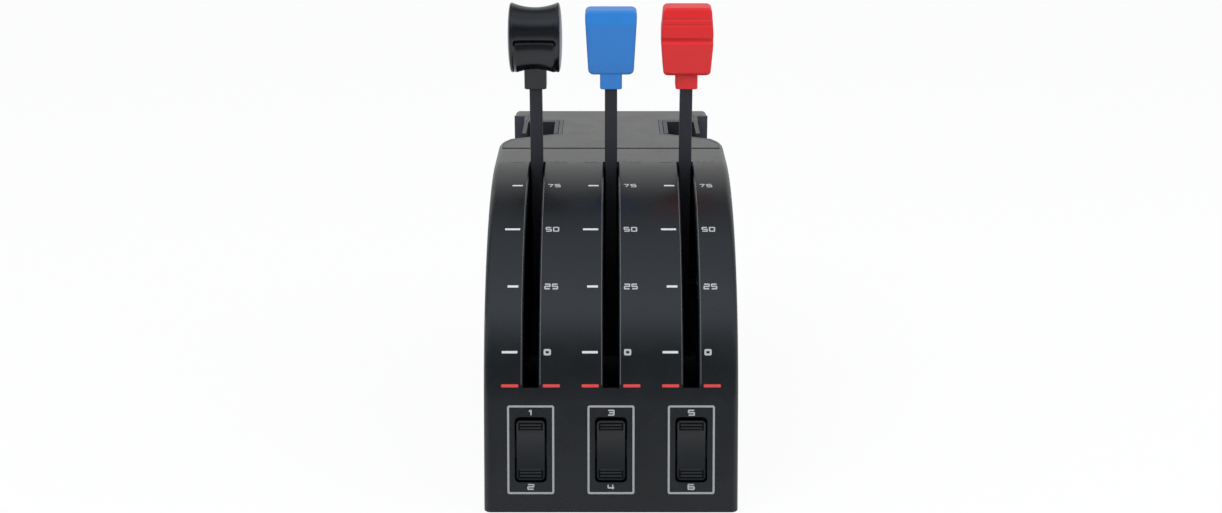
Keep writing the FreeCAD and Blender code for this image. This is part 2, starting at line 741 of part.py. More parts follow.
def lever_hub(x):
    """Hub with a clamp block for the arm and a toothed sector that drives the pot."""
    pitch_r = MODULE * SECTOR_TEETH / 2
    root_r = pitch_r - 1.25 * MODULE
    g0 = x + gear_side()
    g1 = g0 + GEAR_T
    barrel = across(HUB_R, x - HUB_HALF_W, g1, PIVOT_Y, PIVOT_Z)
    half = HUB_BLOCK_D / 2
    block = box(x - HUB_HALF_W, x + HUB_HALF_W, -half, half, 0, HUB_BLOCK_R)
    block = leaned(block)
    step = 360.0 / SECTOR_TEETH
    fan = spun([V(g0, 0, HUB_R - 2), V(g1, 0, HUB_R - 2), V(g1, 0, root_r), V(g0, 0, root_r)],
               180 - SECTOR_TO, 180 - SECTOR_FROM)
    teeth = []
    count = int((SECTOR_TO - SECTOR_FROM) / step)
    first = PINION_AT - step * int((PINION_AT - SECTOR_FROM) / step)
    for i in range(count):
        angle = first + step * i
        if SECTOR_FROM + step / 2 < angle < SECTOR_TO - step / 2:
            teeth.append(tooth(pitch_r, SECTOR_TEETH, angle, g0, g1, PIVOT_Y, PIVOT_Z))
    window = spun([V(g0 - 1, 0, HUB_R + 5), V(g1 + 1, 0, HUB_R + 5), V(g1 + 1, 0, root_r - 5),
                   V(g0 - 1, 0, root_r - 5)], 180 - SECTOR_TO + 14, 180 - SECTOR_FROM - 10)
    hub = barrel.multiFuse([block, fan] + teeth).removeSplitter()
    fit_w = ARM_W / 2 + ARM_FIT
    fit_d = ARM_D / 2 + ARM_FIT
    socket = leaned(box(x - fit_w, x + fit_w, -fit_d, fit_d, ARM_FOOT_R, HUB_BLOCK_R + 5))
    axle_hole = across(AXLE_R + RUNNING_GAP, x - 20, x + 20, PIVOT_Y, PIVOT_Z)
    pins = [pin_shape(x, r, HUB_HALF_W + 5) for r in pin_radii()]
    return hub.cut([socket, axle_hole, window] + pins)


def leaned(shape):
    """Tip a shape made upright over the pivot to the lever's rest angle."""
    placed = shape.copy()
    placed.rotate(V(0, 0, 0), V(1, 0, 0), 90 - LEVER_REST)
    placed.translate(V(0, PIVOT_Y, PIVOT_Z))
    return placed


def pin_radii():
    return (ARM_FOOT_R + 4.0, HUB_BLOCK_R - 3.5)


def pin_shape(x, r, half):
    return leaned(across(PIN_R, x - half, x + half, 0, r))


def lever_pins(x):
    return group([pin_shape(x, r, HUB_HALF_W) for r in pin_radii()])


def lever_arm(x):
    arm = box(x - ARM_W / 2, x + ARM_W / 2, -ARM_D / 2, ARM_D / 2, ARM_FOOT_R, ARM_TOP_R)
    long_edges = [e for e in arm.Edges if e.BoundBox.ZLength > 1]
    arm = leaned(arm.makeFillet(0.5, long_edges))
    return arm.cut([pin_shape(x, r, HUB_HALF_W) for r in pin_radii()])


def arm_hole(x):
    """Socket in a knob that the arm's top end presses into."""
    return box(x - ARM_W / 2, x + ARM_W / 2, -ARM_D / 2, ARM_D / 2, COLLAR_R - 1, ARM_TOP_R)


def collar(x, top):
    body = box(x - COLLAR_W / 2, x + COLLAR_W / 2, -COLLAR_D / 2, COLLAR_D / 2, COLLAR_R, top)
    long_edges = [e for e in body.Edges if e.BoundBox.ZLength > 1]
    return body.makeFillet(1.0, long_edges)


def spool_knob(x):
    """Waisted grip across the lever, with soft lips and domed ends."""
    middle = KNOB_R + SPOOL_H / 2
    half = SPOOL_W / 2
    lip = SPOOL_H / 2
    shoulder = half - SPOOL_DOME
    inner = shoulder - SPOOL_LIP

    def at(along, radius):
        return V(along, 0, radius)

    outline = [
        Part.LineSegment(at(-half, 0), at(half, 0)),
        Part.Arc(at(half, 0), at(half - SPOOL_DOME * 0.3, lip * 0.55), at(shoulder, lip - SPOOL_LIP)),
        Part.Arc(at(shoulder, lip - SPOOL_LIP), at(shoulder - SPOOL_LIP * 0.3, lip - SPOOL_LIP * 0.25), at(inner, lip)),
        Part.Arc(at(inner, lip), at(0, lip - SPOOL_WAIST), at(-inner, lip)),
        Part.Arc(at(-inner, lip), at(-shoulder + SPOOL_LIP * 0.3, lip - SPOOL_LIP * 0.25), at(-shoulder, lip - SPOOL_LIP)),
        Part.Arc(at(-shoulder, lip - SPOOL_LIP), at(-half + SPOOL_DOME * 0.3, lip * 0.55), at(-half, 0)),
    ]
    face = Part.Face(Part.Wire([line.toShape() for line in outline]))
    body = face.revolve(V(0, 0, 0), V(1, 0, 0), 360)
    flatten = FreeCAD.Matrix()
    flatten.scale(1, SPOOL_D / SPOOL_H, 1)
    body = body.transformGeometry(flatten)
    body.translate(V(x, 0, middle))
    return leaned(body.fuse(collar(x, KNOB_R + COLLAR_IN_KNOB)).cut(arm_hole(x)))


def front_prism(x, outline, depth, rounding):
    """Front view of a knob, as (across, up) pairs, pushed through its depth with rounded corners."""
    points = [V(x + across_x, -depth / 2, KNOB_R + up) for across_x, up in outline]
    body = prism(points, V(0, depth, 0))
    corners = [e for e in body.Edges if e.BoundBox.YLength > depth / 2]
    return body.makeFillet(rounding, corners)


def side_prism(x, outline, half_width):
    """Side view of a knob, as (depth, up) pairs, pushed across it."""
    points = [V(x - half_width, depth, KNOB_R + up) for depth, up in outline]
    return prism(points, V(2 * half_width, 0, 0))


def paddle_knob(x):
    """Flat paddle, wider at the top, with a bevelled head."""
    half_d = PADDLE_D / 2
    low = PADDLE_LOW_W / 2
    wide = PADDLE_TOP_W / 2
    front = [(-low, 0), (low, 0), (wide, PADDLE_H - 4), (wide, PADDLE_H), (-wide, PADDLE_H), (-wide, PADDLE_H - 4)]
    side = [(-half_d + 0.6, 0), (half_d - 1.5, 0), (half_d, 6), (half_d, PADDLE_H - 2), (half_d - 2, PADDLE_H),
            (-half_d + PADDLE_BEVEL / 2, PADDLE_H), (-half_d, PADDLE_H - PADDLE_BEVEL)]
    body = front_prism(x, front, PADDLE_D, 1.6).common(side_prism(x, side, PADDLE_TOP_W))
    return leaned(body.fuse(collar(x, KNOB_R + COLLAR_IN_KNOB)).cut(arm_hole(x)))


def block_knob(x):
    """Block with a ridged upper half over a plain lower half."""
    low = BLOCK_LOW_W / 2
    wide = BLOCK_MID_W / 2
    top = BLOCK_TOP_W / 2
    front = [(-low, 0), (low, 0), (wide, BLOCK_CREASE - 3), (wide, BLOCK_CREASE + 3), (top, BLOCK_H), (-top, BLOCK_H),
             (-wide, BLOCK_CREASE + 3), (-wide, BLOCK_CREASE - 3)]
    half_d = BLOCK_D / 2
    flank = [(half_d - 0.8, 0), (half_d, 2), (half_d, BLOCK_CREASE - 0.6), (half_d - 1.3, BLOCK_CREASE + 0.3),
             (half_d - 0.3, BLOCK_CREASE + 2.2)]
    for up in BLOCK_GROOVES:
        set_back = (up - BLOCK_CREASE) * 0.09
        flank += [(half_d - 0.2 - set_back, up - 0.6), (half_d - 0.9 - set_back, up), (half_d - 0.4 - set_back, up + 0.6)]
    flank.append((half_d - 2.4, BLOCK_H))
    side = flank + [(-depth, up) for depth, up in reversed(flank)]
    body = front_prism(x, front, BLOCK_D, 1.4).common(side_prism(x, side, BLOCK_MID_W))
    return leaned(body.fuse(collar(x, KNOB_R + COLLAR_IN_KNOB)).cut(arm_hole(x)))


def pinion(x):
    """Pinion on the pot's shaft; a tooth gap faces the sector."""
    cy, cz = pinion_centre()
    pitch_r = MODULE * PINION_TEETH / 2
    root_r = pitch_r - 1.25 * MODULE
    g0 = x + gear_side()
    g1 = g0 + GEAR_T
    blank = across(root_r, g0, g1, cy, cz)
    step = 360.0 / PINION_TEETH
    start = PINION_AT + 180 + step / 2
    teeth = [tooth(pitch_r, PINION_TEETH, start + step * i, g0, g1, cy, cz) for i in range(PINION_TEETH)]
    gear = blank.multiFuse(teeth).removeSplitter()
    return gear.cut(across(POT_SHAFT_R, g0 - 1, g1 + 1, cy, cz))


def pot_shaft(x):
    cy, cz = pinion_centre()
    rib_x = x + RIB_FROM_LEVER
    return across(POT_SHAFT_R, x + gear_side(), rib_x + RIB_T / 2 + POT_T - 1.5, cy, cz)


def pot(x):
    """Rotary pot: can behind the rib, bushing through it, three pins at the back."""
    cy, cz = pinion_centre()
    x0 = x + RIB_FROM_LEVER + RIB_T / 2
    can = across(POT_R, x0, x0 + POT_T, cy, cz)
    bushing = across(POT_BUSH_R, x0 - RIB_T - NUT_T - 0.2, x0 + 1, cy, cz)
    tail = box(x0 + 1, x0 + POT_T - 1, cy - 6, cy + 6, cz - POT_R - 3.5, cz)
    body = fuse([can, bushing, tail])
    pins = [box(x0 + 2, x0 + 2.6, cy + d - 0.5, cy + d + 0.5, cz - POT_R - 8, cz - POT_R - 3) for d in (-4, 0, 4)]
    body = body.multiFuse(pins).removeSplitter()
    return body.cut(across(POT_SHAFT_R + RUNNING_GAP, x0 - 10, x0 + POT_T - 1.3, cy, cz))


def hexagon(flats, x0, x1, cy, cz):
    r = flats / math.sqrt(3)
    points = []
    for i in range(6):
        a = math.radians(60 * i)
        points.append(V(x0, cy + r * math.cos(a), cz + r * math.sin(a)))
    return prism(points, V(x1 - x0, 0, 0))


def pot_nuts():
    cy, cz = pinion_centre()
    nuts = []
    for x in LEVER_X.values():
        x1 = x + RIB_FROM_LEVER - RIB_T / 2
        nut = hexagon(NUT_FLATS, x1 - NUT_T, x1, cy, cz)
        nuts.append(nut.cut(across(POT_BUSH_R + RUNNING_GAP, x1 - 5, x1 + 5, cy, cz)))
    return group(nuts)


def reverse_switches():
    """Small switches on the ribs that the sector's leading end reaches in the red zone."""
    switches = []
    for x in LEVER_X.values():
        x1 = x + RIB_FROM_LEVER - RIB_T / 2
        body = box(x1 - 3.0, x1, PIVOT_Y - 31.0, PIVOT_Y - 23.5, PIVOT_Z + 16.0, PIVOT_Z + 21.6)
        button = box(x1 - 2.2, x1 - 0.9, PIVOT_Y - 25.6, PIVOT_Y - 24.2, PIVOT_Z + 21.0, PIVOT_Z + 22.9)
        switches.append(body.fuse(button))
    return group(switches)


def rocker(x):
    """Rocker cap, dished along its length, with grip ridges, a barrel and two feet."""
    half = ROCKER_L / 2
    left = x - ROCKER_W / 2
    low = V(left, -half, ROCKER_BACK)
    high = V(left, half, ROCKER_BACK)
    a = V(left, -half, ROCKER_END)
    b = V(left, half, ROCKER_END)
    mid = V(left, 0, ROCKER_MID)
    edges = [
        Part.LineSegment(low, a).toShape(),
        Part.Arc(a, mid, b).toShape(),
        Part.LineSegment(b, high).toShape(),
        Part.LineSegment(high, low).toShape(),
    ]
    cap = Part.Face(Part.Wire(edges)).extrude(V(ROCKER_W, 0, 0))
    cap = cap.common(rounded_slab(ROCKER_W, ROCKER_L, ROCKER_CORNER, ROCKER_BACK - 1, ROCKER_END + 1, x))
    adds = [across(ROCKER_BARREL_R, left, left + ROCKER_W, 0, ROCKER_PIVOT)]
    inset = 1.4
    for side in (-1, 1):
        for i in range(RIDGES):
            y = side * (half - 1.7 - i * RIDGE_PITCH)
            z = ROCKER_MID + (ROCKER_END - ROCKER_MID) * (y / half) ** 2
            adds.append(across(RIDGE_R, left + inset, left + ROCKER_W - inset, y, z - 0.12))
        foot = box(x - 2, x + 2, side * PUSH_AT - 1.5, side * PUSH_AT + 1.5, ROCKER_BACK - ROCKER_FOOT, 0)
        adds.append(foot)
    cap = cap.multiFuse(adds).removeSplitter()
    cap = cap.cut(across(ROCKER_PIN_R + RUNNING_GAP, left - 1, left + ROCKER_W + 1, 0, ROCKER_PIVOT))
    return on_face(cap)


def rocker_cradle():
    """Plate behind the rockers with a pair of cheeks for each pin."""
    reach = LEVER_X["right"] + ROCKER_OPEN_W / 2 + CHEEK_T + 3
    plate = box(-reach, reach, -CRADLE_HALF_L, CRADLE_HALF_L, CRADLE_PLATE - CRADLE_T, CRADLE_PLATE)
    adds = []
    cuts = []
    for x in LEVER_X.values():
        for side in (-1, 1):
            inner = x + side * (ROCKER_W / 2 + 0.3)
            x0, x1 = sorted((inner, inner + side * CHEEK_T))
            adds.append(box(x0, x1, -4, 4, CRADLE_PLATE - 0.5, CRADLE_TOP - 0.2))
            window = PUSH_SIDE / 2 + 0.3
            y = side * PUSH_AT
            cuts.append(box(x - window, x + window, y - window, y + window, CRADLE_PLATE - 5, CRADLE_PLATE + 1))
            hanger_y = side * (CRADLE_HALF_L - 1)
            adds.append(box(x - 5, x + 5, hanger_y - 1, hanger_y + 1, CRADLE_PLATE - 0.5, CRADLE_TOP))
        reach_pin = ROCKER_W / 2 + 0.3 + CHEEK_T + 1
        cuts.append(across(ROCKER_PIN_R + RUNNING_GAP, x - reach_pin, x + reach_pin, 0, ROCKER_PIVOT))
    for x, y in both_sides(CRADLE_BOSSES):
        cuts.append(upright(SCREW_R + 0.2, x, y, CRADLE_PLATE - 5, CRADLE_PLATE + 1))
    return on_face(fuse([plate] + adds).cut(cuts))


def cradle_screws():
    """Screws from behind, through the switch board and the cradle, into the cover's bosses."""
    seat = CRADLE_PLATE - CRADLE_T - BOARD_T
    return on_face(group([pan_screw(x, y, seat, CRADLE_SCREW_L) for x, y in both_sides(CRADLE_BOSSES)]))


def rocker_pins():
    half = ROCKER_W / 2 + 0.3 + CHEEK_T
    return on_face(group([across(ROCKER_PIN_R, x - half, x + half, 0, ROCKER_PIVOT) for x in LEVER_X.values()]))


def switch_board():
    reach = LEVER_X["right"] + ROCKER_OPEN_W / 2 + CHEEK_T + 3
    top = CRADLE_PLATE - CRADLE_T
    board = box(-reach, reach, -CRADLE_HALF_L + 2, CRADLE_HALF_L - 2, top - BOARD_T, top)
    holes = [upright(SCREW_R + 0.2, x, y, top - 5, top + 1) for x, y in both_sides(CRADLE_BOSSES)]
    return on_face(board.cut(holes))


def push_switches():
    top = CRADLE_PLATE - CRADLE_T
    switches = []
    for x in LEVER_X.values():
        for side in (-1, 1):
            y = side * PUSH_AT
            half = PUSH_SIDE / 2
            body = box(x - half, x + half, y - half, y + half, top, top + PUSH_H)
            plunger = upright(PLUNGER_R, x, y, top + PUSH_H - 0.5, top + PUSH_H + PLUNGER_H)
            switches.append(body.fuse(plunger).removeSplitter())
    return on_face(group(switches))


def main_board():
    z = BASE_TOP + BOARD_RISE
    board = box(-BOARD_W / 2, BOARD_W / 2, BOARD_Y - BOARD_L / 2, BOARD_Y + BOARD_L / 2, z, z + BOARD_T)
    return board.cut([upright(SCREW_R + 0.2, x, y, z - 1, z + 5) for x, y in board_corners()])


def controller_chip():
    z = BASE_TOP + BOARD_RISE + BOARD_T
    body = box(-6, 6, BOARD_Y - 6, BOARD_Y + 6, z + 0.2, z + 1.6)
    legs = []
    for i in range(9):
        d = -4.8 + 1.2 * i
        legs.append(box(-7.5, 7.5, BOARD_Y + d - 0.2, BOARD_Y + d + 0.2, z, z + 0.6))
    return fuse([body] + legs)


def board_connectors():
    z = BASE_TOP + BOARD_RISE + BOARD_T
    blocks = []
    for x in (-18.0, -4.0, 10.0):
        shell = box(x - 5, x + 5, BOARD_Y - BOARD_L / 2 + 1, BOARD_Y - BOARD_L / 2 + 7, z, z + 6)
        hollow = box(x - 4, x + 4, BOARD_Y - BOARD_L / 2 + 2, BOARD_Y - BOARD_L / 2 + 6, z + 1.5, z + 7)
        blocks.append(shell.cut(hollow))
    return group(blocks)


def cable_inlet_bush():
    """Rubber bush in the square inlet: a lip each side of the wall and a bore for the cable."""
    gap = 0.15
    neck = INLET_SIDE / 2 - gap
    lip = INLET_FLANGE / 2
    y0 = REAR_Y - WALL
    y1 = REAR_Y
    z = INLET_Z
    core = box(-neck, neck, y0 - 2.5, y1, z - neck, z + neck)
    inner = box(-lip, lip, y0 - 2.5, y0, z - lip, z + lip)
    bush = fuse([core, inner])
    return bush.cut(rod(INLET_BORE_R, 40, V(0, y0 - 20, z), V(0, 1, 0)))


def build():
    parts = {
        "front_cover": front_cover(),
        "rear_cover": rear_cover(),
        "back_panel": back_panel(),
        "top_screws": top_screws(),
        "pocket_tray_left": pocket_tray(-1),
        "pocket_tray_right": pocket_tray(1),
        "base_plate": base_plate(),
        "clamp_socket_left": clamp_socket(-1),
        "clamp_socket_right": clamp_socket(1),
        "rubber_feet": rubber_feet(),
        "cover_screws": cover_screws(),
        "chassis": chassis(),
        "chassis_screws": chassis_screws(),
        "pivot_axle": pivot_axle(),
        "axle_clips": axle_clips(),
        "axle_spacers": axle_spacers(),
        "friction_washers": friction_washers(),
        "pot_nuts": pot_nuts(),
        "reverse_switches": reverse_switches(),
        "rocker_cradle": rocker_cradle(),
        "cradle_screws": cradle_screws(),
        "rocker_pins": rocker_pins(),
        "switch_board": switch_board(),
        "push_switches": push_switches(),
        "main_board": main_board(),
        "controller_chip": controller_chip(),
        "board_connectors": board_connectors(),
        "board_screws": board_screws(),
        "cable_inlet_bush": cable_inlet_bush(),
    }
    knobs = {"left": spool_knob, "mid": paddle_knob, "right": block_knob}
    for name, x in LEVER_X.items():
        parts["lever_arm_" + name] = lever_arm(x)
        parts["lever_hub_" + name] = lever_hub(x)
        parts["lever_pins_" + name] = lever_pins(x)
        parts["knob_" + name] = knobs[name](x)
        parts["pinion_" + name] = pinion(x)
        parts["pot_shaft_" + name] = pot_shaft(x)
        parts["pot_" + name] = pot(x)
        parts["rocker_" + name] = rocker(x)
    return parts


os.makedirs("parts", exist_ok=True)
for node, shape in build().items():
    shape.exportStep("parts/" + node + ".step")
    print(node, len(shape.Solids), round(shape.Volume), shape.isValid())
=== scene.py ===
"""Looks of the desk throttle quadrant: finishes, printed scales, softer knobs and the studio."""
import bmesh
import bpy
import json
import math
from collections import Counter
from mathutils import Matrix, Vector
from mathutils.geometry import delaunay_2d_cdt


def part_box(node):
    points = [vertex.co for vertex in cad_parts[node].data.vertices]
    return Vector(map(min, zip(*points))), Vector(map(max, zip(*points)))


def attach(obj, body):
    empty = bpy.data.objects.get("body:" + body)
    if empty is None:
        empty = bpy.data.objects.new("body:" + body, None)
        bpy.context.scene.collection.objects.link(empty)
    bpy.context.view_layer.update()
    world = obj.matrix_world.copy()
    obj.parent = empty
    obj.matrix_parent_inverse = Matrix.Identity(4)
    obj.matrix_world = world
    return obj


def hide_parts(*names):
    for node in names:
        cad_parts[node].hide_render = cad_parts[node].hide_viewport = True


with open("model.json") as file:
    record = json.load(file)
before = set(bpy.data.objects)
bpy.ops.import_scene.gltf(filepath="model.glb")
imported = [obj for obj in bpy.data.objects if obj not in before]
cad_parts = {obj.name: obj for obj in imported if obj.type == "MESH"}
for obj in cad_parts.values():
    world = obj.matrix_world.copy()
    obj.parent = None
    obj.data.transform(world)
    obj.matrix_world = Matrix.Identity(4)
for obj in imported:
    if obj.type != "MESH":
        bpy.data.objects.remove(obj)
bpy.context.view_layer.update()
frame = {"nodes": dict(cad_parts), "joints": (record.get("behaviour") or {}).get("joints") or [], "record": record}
MM = 0.001

# Places read from the frame; the levers go by side: left, mid and right
SWINGS = {j["name"].split("_")[-1]: j for j in frame["joints"] if j["name"].startswith("lever_swing")}
PIVOT = Vector(SWINGS["mid"]["pos_m"])
LEVER_X = {side: j["pos_m"][0] for side, j in SWINGS.items()}
TOP_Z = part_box("front_cover")[1].z
ARC_R = TOP_Z - PIVOT.z

# The lower face leans back from upright; the arc starts where it ends
FACE_LEAN = math.radians(13.5)

# Slots for the levers. Their rounded edges end a little short of SLOT_REACH from the middle
SLOT_W = 6.8 * MM
SLOT_REACH = SLOT_W / 2 + 0.6 * MM

# How far from the arc's radius a vertex may lie and still be on it
ARC_TOLERANCE = 0.02 * MM

# Laying the arc out again: vertices this near become one, and leftover holes this small are filled.
# INSIDE_ONLY is delaunay_2d_cdt's number for keeping only what its rim encloses
ARC_WELD = 0.001 * MM
HOLE_EDGES = 6
INSIDE_ONLY = 1
LAYOUT_EPSILON = 1e-7

# Faces that turn less than this from each other shade as one
SMOOTH_DEGREES = 32
KNOB_SMOOTH_DEGREES = 40
EVEN_DEGREES = 35

# Camera: sensor and lens in mm, place from the pivot in metres, and tilt up from straight down
SENSOR_W = 36.0
LENS = 50.14
CLIP_START = 0.01
CAMERA_PLACE = Vector((0.0, -0.7653, 0.3048))
CAMERA_TILT = math.radians(72.0)

# Square lights as name, place, side and power, both aimed at the object
LIGHTS = (("key", (-0.5, -0.7, 1.1), 0.9, 9.0), ("fill", (0.9, -0.3, 0.7), 0.8, 4.0))
LIGHT_AIM = Vector((0, 0, 0.08))

# Brightness of the sky by direction: 0 is level in front of the object, 0.5 overhead, 1 level behind it
SKY_STOPS = ((0.0, 0.24), (0.08, 0.24), (0.15, 0.10), (0.18, 0.24), (0.22, 0.62), (0.255, 1.1),
             (0.33, 1.05), (0.38, 0.85), (0.45, 0.80), (0.52, 0.68), (0.59, 0.38), (0.65, 0.18),
             (0.71, 0.50), (0.76, 0.85), (0.84, 0.78), (1.0, 0.80))
COOL_UNTIL = 0.7
COOL_TINT = (0.93, 1.0, 1.12)

# Floor: half its side in metres, its grey, and how much of what the camera sees of it is plain white
FLOOR_HALF = 6.0
FLOOR_GREY = 0.82
FLOOR_WHITE = 0.93

# Finishes: colour, roughness, and what differs from principled's own values
FINISHES = {
    "body_plastic": ((0.0060, 0.0072, 0.0080), 0.27, {"grain": 0.3, "grain_size": 0.35}),
    # tray_plastic is the body's black plastic painted lighter and bluish-grey: painted light that stands in for
    # how the pocket's back wall is lit
    "tray_plastic": ((0.042, 0.046, 0.058), 0.42, {"grain": 0.3}),
    "base_plastic": ((0.014, 0.014, 0.015), 0.55, {"grain": 0.4}),
    "socket_plastic": ((0.03, 0.032, 0.037), 0.45, {"grain": 0.3}),
    "rubber": ((0.012, 0.012, 0.012), 0.75, {"grain": 0.5, "grain_size": 0.5}),
    "zinc_steel": ((0.62, 0.61, 0.58), 0.35, {"metallic": 1.0, "vary": 0.1}),
    "bright_steel": ((0.62, 0.63, 0.65), 0.25, {"metallic": 1.0, "vary": 0.08}),
    "frame_plastic": ((0.008, 0.008, 0.009), 0.6, {"grain": 0.3}),
    "gear_nylon": ((0.02, 0.02, 0.022), 0.5, {}),
    "pot_case": ((0.012, 0.02, 0.04), 0.4, {}),
    "component_black": ((0.01, 0.01, 0.011), 0.35, {}),
    "connector_white": ((0.7, 0.69, 0.64), 0.4, {"vary": 0.05}),
    "circuit_board": ((0.01, 0.1, 0.04), 0.3, {"vary": 0.2, "blotch": 4.0}),
    "black_painted_steel": ((0.0150, 0.0152, 0.0205), 0.45,
                            {"ior": 1.42, "grain": 0.3, "grain_size": 0.25}),
    "knob_black": ((0.0035, 0.004, 0.005), 0.2, {"vary": 0.15, "grain": 0.1}),
    "knob_blue": ((0.020, 0.190, 0.560), 0.42, {"vary": 0.05, "grain": 0.12}),
    "knob_red": ((0.680, 0.013, 0.014), 0.44, {"vary": 0.05, "grain": 0.12}),
    "rocker_plastic": ((0.006, 0.0075, 0.0082), 0.36, {"grain": 0.25}),
    "grip_rubber": ((0.0022, 0.0026, 0.003), 0.65, {"ior": 1.18, "grain": 0.3}),
    "pin_steel": ((0.02, 0.02, 0.022), 0.5, {"metallic": 1.0}),
    "white_ink": ((0.62, 0.63, 0.62), 0.55, {"vary": 0.06, "blotch": 1.5}),
    "number_ink": ((0.42, 0.43, 0.43), 0.55, {"vary": 0.1, "blotch": 1.2}),
    "frame_ink": ((0.33, 0.34, 0.34), 0.55, {"vary": 0.08, "blotch": 1.5}),
    # This finish, for the lines along the slot edges, is a painted highlight: its light grey stands in for the
    # glint on their chamfers
    "painted_glint": ((0.15, 0.153, 0.158), 0.5, {"vary": 0.3, "blotch": 1.2}),
    "worn_ink": ((0.11, 0.112, 0.115), 0.5, {"vary": 0.35, "blotch": 1.0}),
    "red_ink": ((0.66, 0.055, 0.05), 0.5, {"vary": 0.08, "blotch": 1.5}),
}

# For every finish: how far its roughness varies, the detail of blotches and grain, and the grain's depth
GLOSS_VARY = 0.06
BLOTCH_DETAIL = 3.0
GRAIN_DETAIL = 2.0
GRAIN_DEPTH = 0.05 * MM

# Prints: how thick they stand, how deep they sink, and how near vertices become one
PRINT_T = 0.05 * MM
PRINT_SINK = 0.03 * MM
PRINT_WELD = 0.0005 * MM

# Scales beside the slots, with angles in degrees up from straight ahead of the pivot
MARK_ANGLES = (25.2, 41.2, 57.3, 73.8, 88.5)
MARK_T = 1.0 * MM
LONG_MARK = 6.6 * MM
SHORT_MARK = 4.6 * MM
MARK_GAP = 2.2 * MM
NUMBER_STEP = 25
NUMBER_GAP = 2.1 * MM
NUMBER_H = 2.7 * MM
RED_ANGLE = 17.3
RED_W = 7.2 * MM
RED_T = 1.3 * MM
RED_GAP = 1.8 * MM
RED_CORNER = 0.25

# Numerals on a grid 1 wide and 1 high, as (path, closed) strokes
DIGIT_MIDDLE = 0.52
DIGITS = {
    "0": [([(0, 0), (1, 0), (1, 1), (0, 1)], True)],
    "1": [([(0.25, 0.8), (0.62, 1), (0.62, 0)], False)],
    "2": [([(0, 1), (1, 1), (1, DIGIT_MIDDLE), (0, DIGIT_MIDDLE), (0, 0), (1, 0)], False)],
    "3": [([(0, 1), (1, 1), (1, 0), (0, 0)], False), ([(0.2, DIGIT_MIDDLE), (0.9, DIGIT_MIDDLE)], False)],
    "4": [([(0, 1), (0, 0.3), (1.08, 0.3)], False), ([(0.8, 1), (0.8, 0.42)], False),
          ([(0.8, 0.18), (0.8, 0)], False)],
    "5": [([(1, 1), (0, 1), (0, DIGIT_MIDDLE), (1, DIGIT_MIDDLE), (1, 0), (0, 0)], False)],
    "6": [([(1, 1), (0, 1), (0, 0), (1, 0), (1, DIGIT_MIDDLE), (0.1, DIGIT_MIDDLE)], False)],
    "7": [([(0, 1), (1, 1), (0.45, 0)], False)],
}

# Strokes of the numerals. The gap between digits and the cut of their corners are in stroke widths
STROKE = 0.58 * MM
BOLD_STROKE = 0.85 * MM
BOLD_WIDEN = 1.14
DIGIT_GAP = 1.9
CORNER_CUT = 0.22
MOST_CUT = 0.45

# The digit 1 is narrower, and its grid is moved left by this share of a digit's width
ONE_W = 0.62
ONE_SHIFT = 0.25

# Painted highlights: thin light lines along both edges of each slot that stand in for the glint on the slots'
# chamfered edges, as (side, width), in short steps up the arc in degrees
GLINT_LINES = ((-1, 0.16 * MM), (1, 0.2 * MM))
GLINT_OUT = SLOT_W / 2 + 0.52 * MM
GLINT_LOW = 17.6
GLINT_STEP = 2.0
GLINT_STEPS = 29

# Printed frames round the rockers, from FRAME_TOP down the lower face, and the number at each end of one
FRAME_TOP = -1.5 * MM
FRAME_W = 19.9 * MM
FRAME_L = 38.0 * MM
FRAME_LINE = 0.85 * MM
FRAME_CORNER = 0.9 * MM
FRAME_INNER_CORNER = 0.25 * MM
LABEL_H = 2.6 * MM
LABEL_IN = 3.1 * MM
LABEL_WIDEN = 1.15

# Knobs, upright over the pivot before they lean with their levers. Their bodies start KNOB_R up from it
KNOB_LEAN = math.radians(3.5)
KNOB_R = 147.0 * MM
COLLAR_H = 6.8 * MM
COLLAR_W = 9.9 * MM
COLLAR_D = 10.6 * MM
COLLAR_EDGE = 0.3 * MM
COLLAR_CORNER = 1.0 * MM
COLLAR_TOP = 1.2 * MM
SPOOL_COLLAR_TOP = 5.0 * MM

# Paddle and block, all in mm: (height, size) lines of the width and of how far front and back stand out,
# and the radii of the upright corners and of the sides' ends
PADDLE = {
    "widths": ((0, 20.3), (25.0, 23.0), (28.9, 23.0)),
    "fronts": ((0, 5.5), (5.0, 6.0), (23.1, 6.0), (28.9, 4.3)),
    "backs": ((0, 4.6), (6.0, 6.0), (28.9, 5.6)),
    "corner": 1.0,
    "side_round": 2.2,
}
BLOCK_FLANK = ((0, 6.9), (1.5, 7.5), (14.6, 7.5), (15.5, 6.1), (17.6, 7.25), (22.2, 6.75), (22.9, 6.05),
               (23.6, 6.65), (24.9, 6.5), (25.6, 5.8), (26.3, 6.4), (30.4, 5.2))
BLOCK = {
    "widths": ((0, 21.0), (13.6, 23.1), (19.6, 23.1), (30.4, 21.3)),
    "fronts": BLOCK_FLANK,
    "backs": BLOCK_FLANK,
    "corner": 1.1,
    "side_round": 1.9,
}
FACE_ROUND = 0.9 * MM
STACK_RINGS = 110
WIDTH_WINDOW = 0.8 * MM
DEPTH_WINDOW = 0.35 * MM
WINDOW_SIDE = 3

# Spool: its ends are domes, then comes a rim, then a step down to the waisted and lobed middle
SPOOL_W = 24.2 * MM
SPOOL_H = 31.6 * MM
SPOOL_D = 25.0 * MM
SPOOL_DOME = 1.5 * MM
SPOOL_DOME_REACH = 1.53 * MM
SPOOL_RIM = 1.0 * MM
SPOOL_RIM_TAPER = 0.2 * MM
SPOOL_RIM_STEP = 0.35 * MM
SPOOL_WAIST = 2.2 * MM
SPOOL_FADE = 1.5 * MM
SPOOL_RINGS = 72
SPOOL_POINTS = 192

